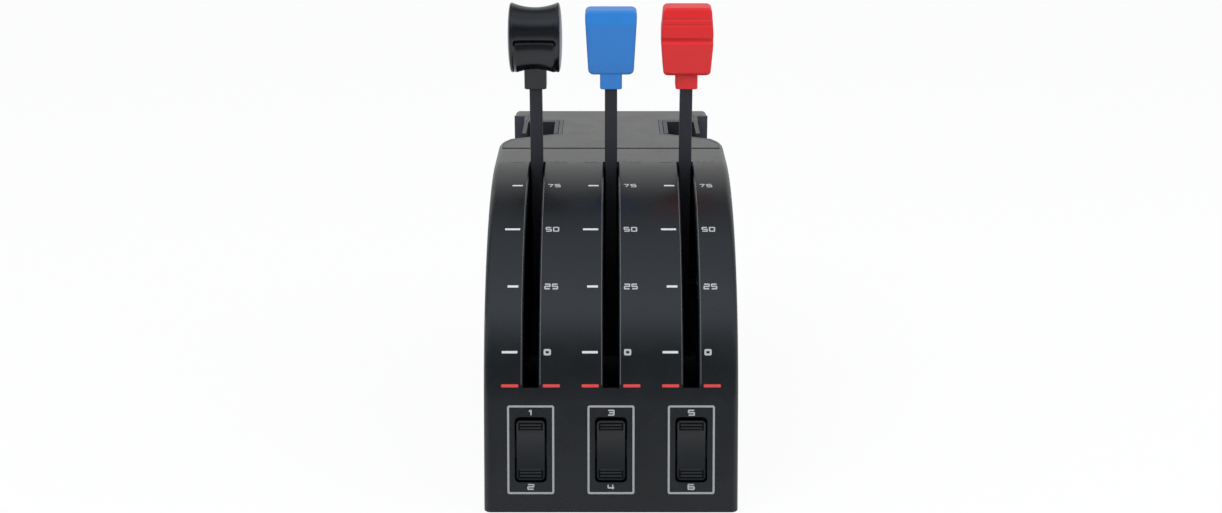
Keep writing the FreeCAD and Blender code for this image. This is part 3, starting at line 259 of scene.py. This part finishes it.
# Where the spool's upper lobe ends and how far back the lower one starts, as shares of its half size.
# SPOOL_SQUARENESS is the power that makes the lower lobe fuller than round
SPOOL_STEP = 0.09
SPOOL_STEP_T = 0.035
SPOOL_SETBACK = 0.955
SPOOL_LOWER = 0.6
SPOOL_SQUARENESS = 3

# Grip bands on the rockers, whose middles are ROCKER_DOWN from the lower face's top. GRIP_T is the bands'
# mean height over the rocker's face, and GRIP_WAVE how far their ridges rise and fall from it
ROCKER_DOWN = 20.5 * MM
ROCKER_HALF_W = 5.9 * MM
ROCKER_HALF_L = 12.6 * MM
ROCKER_MID_RISE = 0.5 * MM
ROCKER_END_RISE = 1.7 * MM
GRIP_RIM = 0.7 * MM
GRIP_L = 3.4 * MM
GRIP_T = 0.228 * MM
GRIP_WAVE = 0.072 * MM
GRIP_SINK = 0.12 * MM
GRIP_RIDGES = 4
RIDGE_STEPS = 8


def placed(name, data):
    """A new object in the scene, made of this data."""
    obj = bpy.data.objects.new(name, data)
    bpy.context.scene.collection.objects.link(obj)
    return obj


# ---------------------------------------------------------------- studio

def add_camera():
    """The photo's view of the object."""
    data = bpy.data.cameras.new("camera")
    data.sensor_width = SENSOR_W
    data.lens = LENS
    data.clip_start = CLIP_START
    camera = placed("camera", data)
    camera.location = PIVOT + CAMERA_PLACE
    camera.rotation_euler = (CAMERA_TILT, 0.0, 0.0)
    bpy.context.scene.camera = camera


def add_lights():
    """Soft lights that leave no reflection of themselves."""
    for name, place, side, power in LIGHTS:
        data = bpy.data.lights.new(name, "AREA")
        data.shape = "RECTANGLE"
        data.size = side
        data.size_y = side
        data.energy = power
        light = placed(name, data)
        light.location = place
        light.rotation_euler = (LIGHT_AIM - Vector(place)).to_track_quat("-Z", "Y").to_euler()
        light.visible_glossy = False


def sky_colour(position, brightness):
    """Grey of this brightness, a little cool in front and overhead."""
    if position > COOL_UNTIL:
        return (brightness, brightness, brightness, 1)
    return tuple(brightness * share for share in COOL_TINT) + (1,)


def set_world():
    """White behind the object for the camera, and a studio sky for the light: dim low in front, bright
    above that and behind, with a darker band between."""
    world = bpy.data.worlds.new("studio")
    bpy.context.scene.world = world
    world.use_nodes = True
    tree = world.node_tree
    tree.nodes.clear()
    out = tree.nodes.new("ShaderNodeOutputWorld")
    mix = tree.nodes.new("ShaderNodeMixShader")
    sky = tree.nodes.new("ShaderNodeBackground")
    white = tree.nodes.new("ShaderNodeBackground")
    path = tree.nodes.new("ShaderNodeLightPath")
    where = tree.nodes.new("ShaderNodeTexCoord")
    split = tree.nodes.new("ShaderNodeSeparateXYZ")
    angle = tree.nodes.new("ShaderNodeMath")
    share = tree.nodes.new("ShaderNodeMath")
    flip = tree.nodes.new("ShaderNodeMath")
    ramp = tree.nodes.new("ShaderNodeValToRGB")
    angle.operation = "ARCTAN2"
    share.operation = "DIVIDE"
    share.inputs[1].default_value = math.pi
    flip.operation = "MULTIPLY"
    flip.inputs[1].default_value = -1.0
    white.inputs["Color"].default_value = (1, 1, 1, 1)
    white.inputs["Strength"].default_value = 1.0
    sky.inputs["Strength"].default_value = 1.0
    elements = ramp.color_ramp.elements
    for element, stop in zip(elements, (SKY_STOPS[0], SKY_STOPS[-1])):
        element.position = stop[0]
        element.color = sky_colour(*stop)
    for stop in SKY_STOPS[1:-1]:
        elements.new(stop[0]).color = sky_colour(*stop)
    link = tree.links.new
    link(where.outputs["Generated"], split.inputs[0])
    link(split.outputs["Y"], flip.inputs[0])
    link(split.outputs["Z"], angle.inputs[0])
    link(flip.outputs[0], angle.inputs[1])
    link(angle.outputs[0], share.inputs[0])
    link(share.outputs[0], ramp.inputs["Fac"])
    link(ramp.outputs["Color"], sky.inputs["Color"])
    link(path.outputs["Is Camera Ray"], mix.inputs["Fac"])
    link(sky.outputs[0], mix.inputs[1])
    link(white.outputs[0], mix.inputs[2])
    link(mix.outputs[0], out.inputs["Surface"])


def add_floor():
    """A wide pale floor that keeps the object's shadow and runs out to white."""
    mesh = bpy.data.meshes.new("floor")
    corners = [(-FLOOR_HALF, -FLOOR_HALF, 0), (FLOOR_HALF, -FLOOR_HALF, 0), (FLOOR_HALF, FLOOR_HALF, 0),
               (-FLOOR_HALF, FLOOR_HALF, 0)]
    mesh.from_pydata(corners, [], [(0, 1, 2, 3)])
    floor = placed("floor", mesh)
    material = bpy.data.materials.new("floor_white")
    material.use_nodes = True
    tree = material.node_tree
    tree.nodes.clear()
    out = tree.nodes.new("ShaderNodeOutputMaterial")
    lit = tree.nodes.new("ShaderNodeBsdfDiffuse")
    lit.inputs["Color"].default_value = (FLOOR_GREY, FLOOR_GREY, FLOOR_GREY, 1)
    glow = tree.nodes.new("ShaderNodeEmission")
    glow.inputs["Color"].default_value = (1, 1, 1, 1)
    glow.inputs["Strength"].default_value = 1.0
    seen = tree.nodes.new("ShaderNodeMixShader")
    seen.inputs["Fac"].default_value = FLOOR_WHITE
    pick = tree.nodes.new("ShaderNodeMixShader")
    path = tree.nodes.new("ShaderNodeLightPath")
    link = tree.links.new
    link(lit.outputs[0], seen.inputs[1])
    link(glow.outputs[0], seen.inputs[2])
    link(path.outputs["Is Camera Ray"], pick.inputs["Fac"])
    link(lit.outputs[0], pick.inputs[1])
    link(seen.outputs[0], pick.inputs[2])
    link(pick.outputs[0], out.inputs["Surface"])
    mesh.materials.append(material)


# ---------------------------------------------------------------- materials

def principled(name, color, roughness, metallic=0.0, ior=1.5, vary=0.25, grain=0.0, grain_size=0.3,
               blotch=12.0):
    """Moulded or painted finish: slow colour and gloss variation over blotch mm, and a fine bumped grain
    of grain_size mm."""
    material = bpy.data.materials.new(name)
    material.use_nodes = True
    tree = material.node_tree
    shader = tree.nodes["Principled BSDF"]
    link = tree.links.new
    shader.inputs["Metallic"].default_value = metallic
    shader.inputs["IOR"].default_value = ior
    where = tree.nodes.new("ShaderNodeTexCoord")
    slow = tree.nodes.new("ShaderNodeTexNoise")
    slow.inputs["Scale"].default_value = 1 / (blotch * MM)
    slow.inputs["Detail"].default_value = BLOTCH_DETAIL
    link(where.outputs["Object"], slow.inputs["Vector"])
    tint = tree.nodes.new("ShaderNodeMix")
    tint.data_type = "RGBA"
    tint.inputs["A"].default_value = tuple(c * (1 - vary) for c in color) + (1.0,)
    tint.inputs["B"].default_value = tuple(c * (1 + vary) for c in color) + (1.0,)
    link(slow.outputs["Fac"], tint.inputs["Factor"])
    link(tint.outputs["Result"], shader.inputs["Base Color"])
    gloss = tree.nodes.new("ShaderNodeMapRange")
    gloss.inputs["To Min"].default_value = roughness - GLOSS_VARY
    gloss.inputs["To Max"].default_value = roughness + GLOSS_VARY
    link(slow.outputs["Fac"], gloss.inputs["Value"])
    link(gloss.outputs["Result"], shader.inputs["Roughness"])
    if grain > 0:
        fine = tree.nodes.new("ShaderNodeTexNoise")
        fine.inputs["Scale"].default_value = 1 / (grain_size * MM)
        fine.inputs["Detail"].default_value = GRAIN_DETAIL
        link(where.outputs["Object"], fine.inputs["Vector"])
        bump = tree.nodes.new("ShaderNodeBump")
        bump.inputs["Strength"].default_value = grain
        bump.inputs["Distance"].default_value = GRAIN_DEPTH
        link(fine.outputs["Fac"], bump.inputs["Height"])
        link(bump.outputs["Normal"], shader.inputs["Normal"])
    return material


def make_materials():
    """Every finish by its name."""
    return {name: principled(name, color, roughness, **rest)
            for name, (color, roughness, rest) in FINISHES.items()}


def dress_nodes(materials):
    """Every carried-over piece takes its slot's finish, with smooth curved faces."""
    for part in frame["record"]["subparts"]:
        name = part["node"]
        node = frame["nodes"][name]
        node.data.materials.clear()
        node.data.materials.append(materials[part["material_slot"]])
        smooth(node)
        if name.startswith(("front_cover", "rear_cover", "pocket_tray", "rocker_", "lever_arm")):
            even_normals(node)
    frame["nodes"]["rocker_pins"].data.materials[0] = materials["pin_steel"]


def smooth(obj, degrees=SMOOTH_DEGREES):
    """Smooth shading across gentle angles only."""
    mesh = obj.data
    mesh.polygons.foreach_set("use_smooth", [True] * len(mesh.polygons))
    mesh.set_sharp_from_angle(angle=math.radians(degrees))


def on_arc_face(place):
    """Whether a place lies on the housing's arc."""
    off = math.hypot(place.y - PIVOT.y, place.z - PIVOT.z)
    return abs(off - ARC_R) < ARC_TOLERANCE and place.y < PIVOT.y + ARC_TOLERANCE


def covers_arc(corners):
    """Whether a face with these corners is part of the arc, and not of a wall that ends at it."""
    across = [corner.x for corner in corners]
    return all(on_arc_face(corner) for corner in corners) and max(across) - min(across) > ARC_TOLERANCE


def averaged(own, nearby, limit):
    """Average of the nearby face normals that turn little from a face's own, weighted by area."""
    total = Vector()
    for normal, area in nearby:
        if own.dot(normal) > limit:
            total += normal * area
    return total.normalized() if total.length > 0 else own


def even_normals(obj):
    """Shading normals weighted by face area, so large flat faces stay flat beside their rounded edges.
    On the housing's arc they point straight out from the levers' pivot."""
    mesh = obj.data
    limit = math.cos(math.radians(EVEN_DEGREES))
    facing = [polygon.normal.copy() for polygon in mesh.polygons]
    nearby = [[] for _ in mesh.vertices]
    for polygon, normal in zip(mesh.polygons, facing):
        for v in polygon.vertices:
            nearby[v].append((normal, polygon.area))
    outward = []
    for v in mesh.vertices:
        off = Vector((0.0, v.co.y - PIVOT.y, v.co.z - PIVOT.z))
        outward.append(off.normalized() if on_arc_face(v.co) else None)
    normals = []
    for polygon, own in zip(mesh.polygons, facing):
        whole = covers_arc([mesh.vertices[v].co for v in polygon.vertices])
        for v in polygon.vertices:
            if whole or outward[v] is not None and own.dot(outward[v]) > limit:
                normals.append(outward[v])
            else:
                normals.append(averaged(own, nearby[v], limit))
    mesh.normals_split_custom_set(normals)


def in_slot(x):
    """Whether a place across the housing is within a lever's slot, its rounded edges included."""
    return any(abs(x - at) < SLOT_REACH for at in LEVER_X.values())


def unrolled(place):
    """A place on the arc as its place across and its distance up the arc from straight ahead."""
    return Vector((place.x, math.atan2(place.z - PIVOT.z, PIVOT.y - place.y) * ARC_R))


def add_front_cover(materials):
    """The front cover with its arc laid out again in short faces, because the long ones between the
    slots cut across the curve."""
    bm = bmesh.new()
    bm.from_mesh(frame["nodes"]["front_cover"].data)
    bmesh.ops.remove_doubles(bm, verts=bm.verts, dist=ARC_WELD)
    arc = [face for face in bm.faces if covers_arc([v.co for v in face.verts])]
    chosen = set(arc)
    rim = [edge for edge in bm.edges if sum(face in chosen for face in edge.link_faces) == 1]
    verts = list(dict.fromkeys(v for edge in rim for v in edge.verts))
    index = {v: i for i, v in enumerate(verts)}
    flat = [unrolled(v.co) for v in verts]
    edges = [tuple(index[v] for v in edge.verts) for edge in rim]
    points, _, triangles, sources, _, _ = delaunay_2d_cdt(flat, edges, [], INSIDE_ONLY, LAYOUT_EPSILON)
    slot_foot = min(spot.y for spot in flat if in_slot(spot.x))
    bmesh.ops.delete(bm, geom=arc, context="FACES_ONLY")
    # Every new face goes in but those over a slot
    for triangle in triangles:
        middle = sum((points[i] for i in triangle), Vector((0, 0))) / 3
        if in_slot(middle.x) and middle.y > slot_foot:
            continue
        corners = [verts[sources[i][0]] for i in triangle]
        if bm.faces.get(corners) is None:
            bm.faces.new(corners)
    bmesh.ops.holes_fill(bm, edges=[edge for edge in bm.edges if edge.is_boundary], sides=HOLE_EDGES)
    bmesh.ops.recalc_face_normals(bm, faces=bm.faces)
    mesh = bpy.data.meshes.new("front_cover_shell")
    bm.to_mesh(mesh)
    bm.free()
    mesh.materials.append(materials["body_plastic"])
    shell = placed("front_cover_shell", mesh)
    smooth(shell)
    even_normals(shell)
    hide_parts("front_cover")
    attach(shell, "housing")


# ---------------------------------------------------------------- prints

def on_arc(x, along, height):
    """Point over the curved front. along is the distance up the arc from its start."""
    angle = FACE_LEAN + along / ARC_R
    r = ARC_R + height
    return Vector((x, PIVOT.y - r * math.cos(angle), PIVOT.z + r * math.sin(angle)))


def on_lower_face(x, along, height):
    """Point over the flat lower face. along is negative, down from where the arc starts."""
    start = on_arc(x, 0.0, height)
    return start + Vector((0, math.sin(FACE_LEAN), math.cos(FACE_LEAN))) * along


def surface_point(x, along, height):
    """Point over the front, on whichever of its two faces along leads to."""
    if along >= 0:
        return on_arc(x, along, height)
    return on_lower_face(x, along, height)


def along_of(degrees):
    """Distance up the arc of an angle measured from straight ahead."""
    return (math.radians(degrees) - FACE_LEAN) * ARC_R


def print_solid(outlines):
    """Vertices and faces of thin printed shapes, rings of (x, along) points wrapped onto the front."""
    verts = []
    faces = []
    for outline in outlines:
        n = len(outline)
        base = len(verts)
        for height in (-PRINT_SINK, PRINT_T):
            for x, along in outline:
                verts.append(surface_point(x, along, height))
        faces.append([base + i for i in reversed(range(n))])
        faces.append([base + n + i for i in range(n)])
        for i in range(n):
            j = (i + 1) % n
            faces.append([base + i, base + j, base + n + j, base + n + i])
    return welded(verts, faces)


def welded(verts, faces):
    """The same surface on shared vertices, open between shapes that meet end to end."""
    places = {}
    index = [places.setdefault(tuple(round(c / PRINT_WELD) for c in v), len(places)) for v in verts]
    moved = [[index[i] for i in face] for face in faces]
    meetings = Counter(frozenset(face) for face in moved)
    kept = [face for face in moved if meetings[frozenset(face)] == 1]
    shared = [None] * len(places)
    for i, v in zip(index, verts):
        shared[i] = v
    return shared, kept


def add_print(name, outlines, material):
    """Printed shapes as one piece on the housing."""
    mesh = bpy.data.meshes.new(name)
    verts, faces = print_solid(outlines)
    mesh.from_pydata(verts, [], faces)
    mesh.validate()
    mesh.materials.append(material)
    obj = placed(name, mesh)
    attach(obj, "housing")


def bar(x0, x1, y0, y1, r=0.0, steps=3):
    """Outline of an upright rectangle, with rounded corners where r is given."""
    if r <= 0:
        return [(x0, y0), (x1, y0), (x1, y1), (x0, y1)]
    points = []
    corners = [(x1 - r, y0 + r, -90), (x1 - r, y1 - r, 0), (x0 + r, y1 - r, 90), (x0 + r, y0 + r, 180)]
    for cx, cy, start in corners:
        for i in range(steps + 1):
            a = math.radians(start + 90.0 * i / steps)
            points.append((cx + r * math.cos(a), cy + r * math.sin(a)))
    return points


def ribbon(path, width, closed=False):
    """Quads of a stroke of constant width along a path, mitred at its corners."""
    n = len(path)
    sides = []
    for i, (x, y) in enumerate(path):
        before = path[i - 1] if (closed or i > 0) else None
        after = path[(i + 1) % n] if (closed or i < n - 1) else None
        normals = []
        for a, b in ((before, (x, y)), ((x, y), after)):
            if a is None or b is None:
                continue
            dx = b[0] - a[0]
            dy = b[1] - a[1]
            length = math.hypot(dx, dy)
            normals.append((-dy / length, dx / length))
        nx = sum(v[0] for v in normals) / len(normals)
        ny = sum(v[1] for v in normals) / len(normals)
        size = math.hypot(nx, ny)
        reach = width / 2 / size
        nx /= size
        ny /= size
        sides.append(((x + nx * reach, y + ny * reach), (x - nx * reach, y - ny * reach)))
    quads = []
    for i in range(n if closed else n - 1):
        a = sides[i]
        b = sides[(i + 1) % n]
        quads.append([a[1], b[1], b[0], a[0]])
    return quads


def clipped(path, cut, closed=False):
    """The path with its corners cut off, which reads as rounding at this size."""
    out = []
    n = len(path)
    for i, p in enumerate(path):
        if not closed and i in (0, n - 1):
            out.append(p)
            continue
        for q in (path[i - 1], path[(i + 1) % n]):
            length = math.hypot(q[0] - p[0], q[1] - p[1])
            t = min(cut / length, MOST_CUT)
            out.append((p[0] + (q[0] - p[0]) * t, p[1] + (q[1] - p[1]) * t))
    return out


def number(text, x, along, height, stroke=STROKE, widen=1.0, centred=False):
    """Outlines of a number that starts at x or is centred on it. Its digits are widen times as wide as
    they are tall."""
    inner_h = height - stroke
    inner_w = height * widen - stroke
    gap = stroke * DIGIT_GAP
    widths = [inner_w * (ONE_W if char == "1" else 1.0) for char in text]
    start = x + stroke / 2
    if centred:
        start = x - (sum(widths) + gap * (len(text) - 1)) / 2
    quads = []
    for char, width in zip(text, widths):
        left = start - (ONE_SHIFT * inner_w if char == "1" else 0.0)
        for path, closed in DIGITS[char]:
            spots = [(left + px * inner_w, along - inner_h / 2 + py * inner_h) for px, py in path]
            quads += ribbon(clipped(spots, stroke * CORNER_CUT, closed), stroke, closed)
        start += width + gap
    return quads


def add_painted_slot_glints(materials):
    """Painted highlight: a thin light line along both edges of each slot that stands in for the glint on its
    chamfered edges.
    """
    glints = []
    for x in LEVER_X.values():
        for side, width in GLINT_LINES:
            x0, x1 = sorted((x + side * GLINT_OUT, x + side * (GLINT_OUT + width)))
            for i in range(GLINT_STEPS):
                low = GLINT_LOW + i * GLINT_STEP
                glints.append(bar(x0, x1, along_of(low), along_of(low + GLINT_STEP)))
    add_print("painted_slot_glints", glints, materials["painted_glint"])


def add_scales(materials):
    """Beside each slot: dashes on the left, numbers on the right, and a red mark each side of its foot."""
    dashes = []
    numbers = []
    worn = []
    red = []
    for x in LEVER_X.values():
        left_edge = x - SLOT_W / 2
        right_edge = x + SLOT_W / 2
        for i, degrees in enumerate(MARK_ANGLES):
            along = along_of(degrees)
            last = i == len(MARK_ANGLES) - 1
            length = SHORT_MARK if i % 2 else LONG_MARK
            x1 = left_edge - MARK_GAP
            dash = bar(x1 - length, x1, along - MARK_T / 2, along + MARK_T / 2)
            stroke, widen = (BOLD_STROKE, BOLD_WIDEN) if i == 0 else (STROKE, 1.0)
            digits = number(str(NUMBER_STEP * i), right_edge + NUMBER_GAP, along, NUMBER_H, stroke, widen)
            if last:
                worn.append(dash)
                worn += digits
            else:
                dashes.append(dash)
                numbers += digits
        along = along_of(RED_ANGLE)
        for x0 in (left_edge - RED_GAP - RED_W, right_edge + RED_GAP):
            red.append(bar(x0, x0 + RED_W, along - RED_T / 2, along + RED_T / 2, RED_T * RED_CORNER))
    add_print("scale_dashes", dashes, materials["white_ink"])
    add_print("scale_numbers", numbers, materials["number_ink"])
    add_print("top_marks", worn, materials["worn_ink"])
    add_print("red_marks", red, materials["red_ink"])


def frame_ring(x, middle):
    """Printed rectangle round a rocker, as quads between two rounded outlines."""
    rings = []
    for inset, corner in ((0.0, FRAME_CORNER), (FRAME_LINE, FRAME_INNER_CORNER)):
        half_w = FRAME_W / 2 - inset
        half_l = FRAME_L / 2 - inset
        rings.append(bar(x - half_w, x + half_w, middle - half_l, middle + half_l, corner))
    outer, inner = rings
    n = len(outer)
    return [[outer[i], outer[(i + 1) % n], inner[(i + 1) % n], inner[i]] for i in range(n)]


def add_switch_prints(materials):
    """A frame round each rocker, with a number at its upper and lower end."""
    frames = []
    labels = []
    middle = FRAME_TOP - FRAME_L / 2
    places = (FRAME_TOP - LABEL_IN, FRAME_TOP - FRAME_L + LABEL_IN)
    for i, x in enumerate(LEVER_X.values()):
        frames += frame_ring(x, middle)
        for k, along in enumerate(places):
            labels += number(str(2 * i + k + 1), x, along, LABEL_H, STROKE, LABEL_WIDEN, centred=True)
    add_print("switch_frames", frames, materials["frame_ink"])
    add_print("switch_numbers", labels, materials["number_ink"])


# ---------------------------------------------------------------- knobs

def on_lever(x, across, depth, up):
    """A place on a lever leaned to its rest, from its place over the pivot while upright."""
    lean_y = depth * math.cos(KNOB_LEAN) - up * math.sin(KNOB_LEAN)
    lean_z = depth * math.sin(KNOB_LEAN) + up * math.cos(KNOB_LEAN)
    return (x + across, PIVOT.y + lean_y, PIVOT.z + lean_z)


def level(curve, at, window):
    """Value of a line of (place, value) points, averaged over a window so that its bends are soft."""
    total = 0.0
    for k in range(-WINDOW_SIDE, WINDOW_SIDE + 1):
        place = min(max(at + window * k / WINDOW_SIDE, curve[0][0]), curve[-1][0])
        for (a, low), (b, high) in zip(curve, curve[1:]):
            if a <= place <= b:
                total += low + (high - low) * (place - a) / (b - a)
                break
    return total / (2 * WINDOW_SIDE + 1)


def rounding(distance, radius):
    """How far an edge rounded to this radius has drawn in, at a distance from its end."""
    if distance >= radius:
        return 0.0
    return radius - math.sqrt(max(radius * radius - (radius - distance) ** 2, 0.0))


def rounded_ring(half_w, front, back, radius, steps=5):
    """Rounded rectangle as (across, depth) points, its front toward the user."""
    points = []
    corners = [(half_w - radius, back - radius, 0), (-half_w + radius, back - radius, 90),
               (-half_w + radius, -front + radius, 180), (half_w - radius, -front + radius, 270)]
    for cx, cy, start in corners:
        for i in range(steps + 1):
            turn = math.radians(start + 90 * i / steps)
            points.append((cx + radius * math.cos(turn), cy + radius * math.sin(turn)))
    return points


def raised(ring, x, up):
    """A ring of (across, depth) points at a height up a knob."""
    return [on_lever(x, across, depth, KNOB_R + up) for across, depth in ring]


def skin(rings):
    """Closed surface through a row of rings with the same number of points."""
    verts = [point for ring in rings for point in ring]
    n = len(rings[0])
    faces = [list(reversed(range(n))), [len(verts) - n + i for i in range(n)]]
    for k in range(len(rings) - 1):
        for i in range(n):
            j = (i + 1) % n
            faces.append([k * n + i, k * n + j, (k + 1) * n + j, (k + 1) * n + i])
    return verts, faces


def solid(name, verts, faces, material):
    """A closed piece with all its faces turned outward."""
    mesh = bpy.data.meshes.new(name)
    mesh.from_pydata(verts, [], faces)
    mesh.validate()
    bm = bmesh.new()
    bm.from_mesh(mesh)
    bmesh.ops.recalc_face_normals(bm, faces=bm.faces)
    bm.to_mesh(mesh)
    bm.free()
    mesh.materials.append(material)
    obj = placed(name, mesh)
    smooth(obj, KNOB_SMOOTH_DEGREES)
    return obj


def joined(body, other):
    """Union of two solids, keeping the first."""
    union = body.modifiers.new("union", "BOOLEAN")
    union.operation = "UNION"
    union.solver = "EXACT"
    union.object = other
    bpy.context.view_layer.update()
    whole = bpy.data.meshes.new_from_object(body.evaluated_get(bpy.context.evaluated_depsgraph_get()))
    body.modifiers.clear()
    body.data = whole
    bpy.data.objects.remove(other)
    smooth(body, KNOB_SMOOTH_DEGREES)
    return body


def in_metres(curve):
    """A line of (place, value) points given in mm."""
    return [(place * MM, value * MM) for place, value in curve]


def stacked(name, x, shape, material):
    """Knob body of rounded rectangles stacked up the lever, its top and foot rounded off."""
    widths = in_metres(shape["widths"])
    fronts = in_metres(shape["fronts"])
    backs = in_metres(shape["backs"])
    height = widths[-1][0]
    rings = []
    for i in range(STACK_RINGS + 1):
        up = height * (0.5 - 0.5 * math.cos(math.pi * i / STACK_RINGS))
        end = min(up, height - up)
        half_w = level(widths, up, WIDTH_WINDOW) / 2 - rounding(end, shape["side_round"] * MM)
        front = level(fronts, up, DEPTH_WINDOW) - rounding(end, FACE_ROUND)
        back = level(backs, up, DEPTH_WINDOW) - rounding(end, FACE_ROUND)
        rings.append(raised(rounded_ring(half_w, front, back, shape["corner"] * MM), x, up))
    return solid(name, *skin(rings), material)


def collar(x, top, material):
    """Square sleeve that each knob grips the lever with."""
    rings = []
    for up, inset in ((-COLLAR_H, COLLAR_EDGE), (-COLLAR_H + COLLAR_EDGE, 0.0), (top, 0.0)):
        half_d = COLLAR_D / 2 - inset
        rings.append(raised(rounded_ring(COLLAR_W / 2 - inset, half_d, half_d, COLLAR_CORNER), x, up))
    return solid("collar", *skin(rings), material)


def lobes(up):
    """Depth of the spool's side view at a height from -1 to 1: a round lobe overhanging a fuller one."""
    off = min(abs(up + 1 - SPOOL_LOWER) / SPOOL_LOWER, 1.0)
    lower = SPOOL_SETBACK * (1 - off ** SPOOL_SQUARENESS) ** (1 / SPOOL_SQUARENESS)
    if up < SPOOL_STEP - SPOOL_STEP_T:
        return lower
    rise = max(up - SPOOL_STEP, 0.0) / (1 - SPOOL_STEP)
    upper = math.sqrt(max(1 - rise * rise, 0.0))
    share = min((up - SPOOL_STEP + SPOOL_STEP_T) / SPOOL_STEP_T, 1.0)
    return lower + (upper - lower) * share


def spool_radius(out):
    """Half the spool's height at a distance across from its middle."""
    shoulder = SPOOL_W / 2 - SPOOL_DOME
    neck = shoulder - SPOOL_RIM
    lip = SPOOL_H / 2
    if out > shoulder:
        return lip * math.sqrt(1 - ((out - shoulder) / SPOOL_DOME_REACH) ** 2) - SPOOL_RIM_TAPER
    if out > neck:
        return lip - SPOOL_RIM_TAPER * (out - neck) / SPOOL_RIM
    return lip - SPOOL_RIM_STEP - (SPOOL_WAIST - SPOOL_RIM_STEP) * (1 - (out / neck) ** 2)


def spool_body(x, material):
    """Waisted grip across the lever: rimmed, domed ends and a crease along its front and back."""
    neck = SPOOL_W / 2 - SPOOL_DOME - SPOOL_RIM
    rings = []
    for i in range(SPOOL_RINGS + 1):
        across = -SPOOL_W / 2 * math.cos(math.pi * i / SPOOL_RINGS)
        radius = spool_radius(abs(across))
        fade = min(1.0, max(0.0, (neck - abs(across)) / SPOOL_FADE))
        ring = []
        for k in range(SPOOL_POINTS):
            turn = 2 * math.pi * (k + 0.5) / SPOOL_POINTS
            round_depth = math.cos(turn)
            lobed_depth = math.copysign(lobes(math.sin(turn)), round_depth)
            depth = (round_depth + (lobed_depth - round_depth) * fade) * radius * SPOOL_D / SPOOL_H
            ring.append(on_lever(x, across, depth, KNOB_R + SPOOL_H / 2 + radius * math.sin(turn)))
        rings.append(ring)
    return solid("spool_knob", *skin(rings), material)


def add_knobs(materials):
    """The three knobs, each with its collar, in place of the plainer ones of the CAD."""
    paddle = stacked("paddle_knob", LEVER_X["mid"], PADDLE, materials["knob_blue"])
    block = stacked("block_knob", LEVER_X["right"], BLOCK, materials["knob_red"])
    spool = spool_body(LEVER_X["left"], materials["knob_black"])
    parts = (("left", spool, SPOOL_COLLAR_TOP, "knob_black"), ("mid", paddle, COLLAR_TOP, "knob_blue"),
             ("right", block, COLLAR_TOP, "knob_red"))
    for side, body, top, finish in parts:
        knob = joined(body, collar(LEVER_X[side], top, materials[finish]))
        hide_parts("knob_" + side)
        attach(knob, "lever_" + side)


def grip_rings(x, end):
    """Cross-sections of the ridged band near one end of a rocker: 1 is the lower end, -1 the upper."""
    half_w = ROCKER_HALF_W - GRIP_RIM
    count = GRIP_RIDGES * RIDGE_STEPS
    rings = []
    for i in range(count + 1):
        down = end * (ROCKER_HALF_L - GRIP_RIM - GRIP_L * i / count)
        face = ROCKER_MID_RISE + (ROCKER_END_RISE - ROCKER_MID_RISE) * (down / ROCKER_HALF_L) ** 2
        top = face + GRIP_T - GRIP_WAVE * math.cos(2 * math.pi * i / RIDGE_STEPS)
        foot = face - GRIP_SINK
        along = -ROCKER_DOWN - down
        corners = ((-half_w, top), (half_w, top), (half_w, foot), (-half_w, foot))
        rings.append([on_lower_face(x + across, along, height) for across, height in corners])
    return rings


def add_grips(materials):
    """Finely ridged dark bands near both ends of each rocker."""
    for side, x in LEVER_X.items():
        verts = []
        faces = []
        for end in (-1, 1):
            base = len(verts)
            band_verts, band_faces = skin(grip_rings(x, end))
            verts += band_verts
            faces += [[base + i for i in face] for face in band_faces]
        grip = solid("rocker_grip_" + side, verts, faces, materials["grip_rubber"])
        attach(grip, "rocker_" + side)


add_camera()
set_world()
add_floor()
add_lights()
MATERIALS = make_materials()
dress_nodes(MATERIALS)
add_front_cover(MATERIALS)
add_painted_slot_glints(MATERIALS)
add_scales(MATERIALS)
add_switch_prints(MATERIALS)
add_knobs(MATERIALS)
add_grips(MATERIALS)
bpy.context.scene.view_settings.view_transform = "Standard"
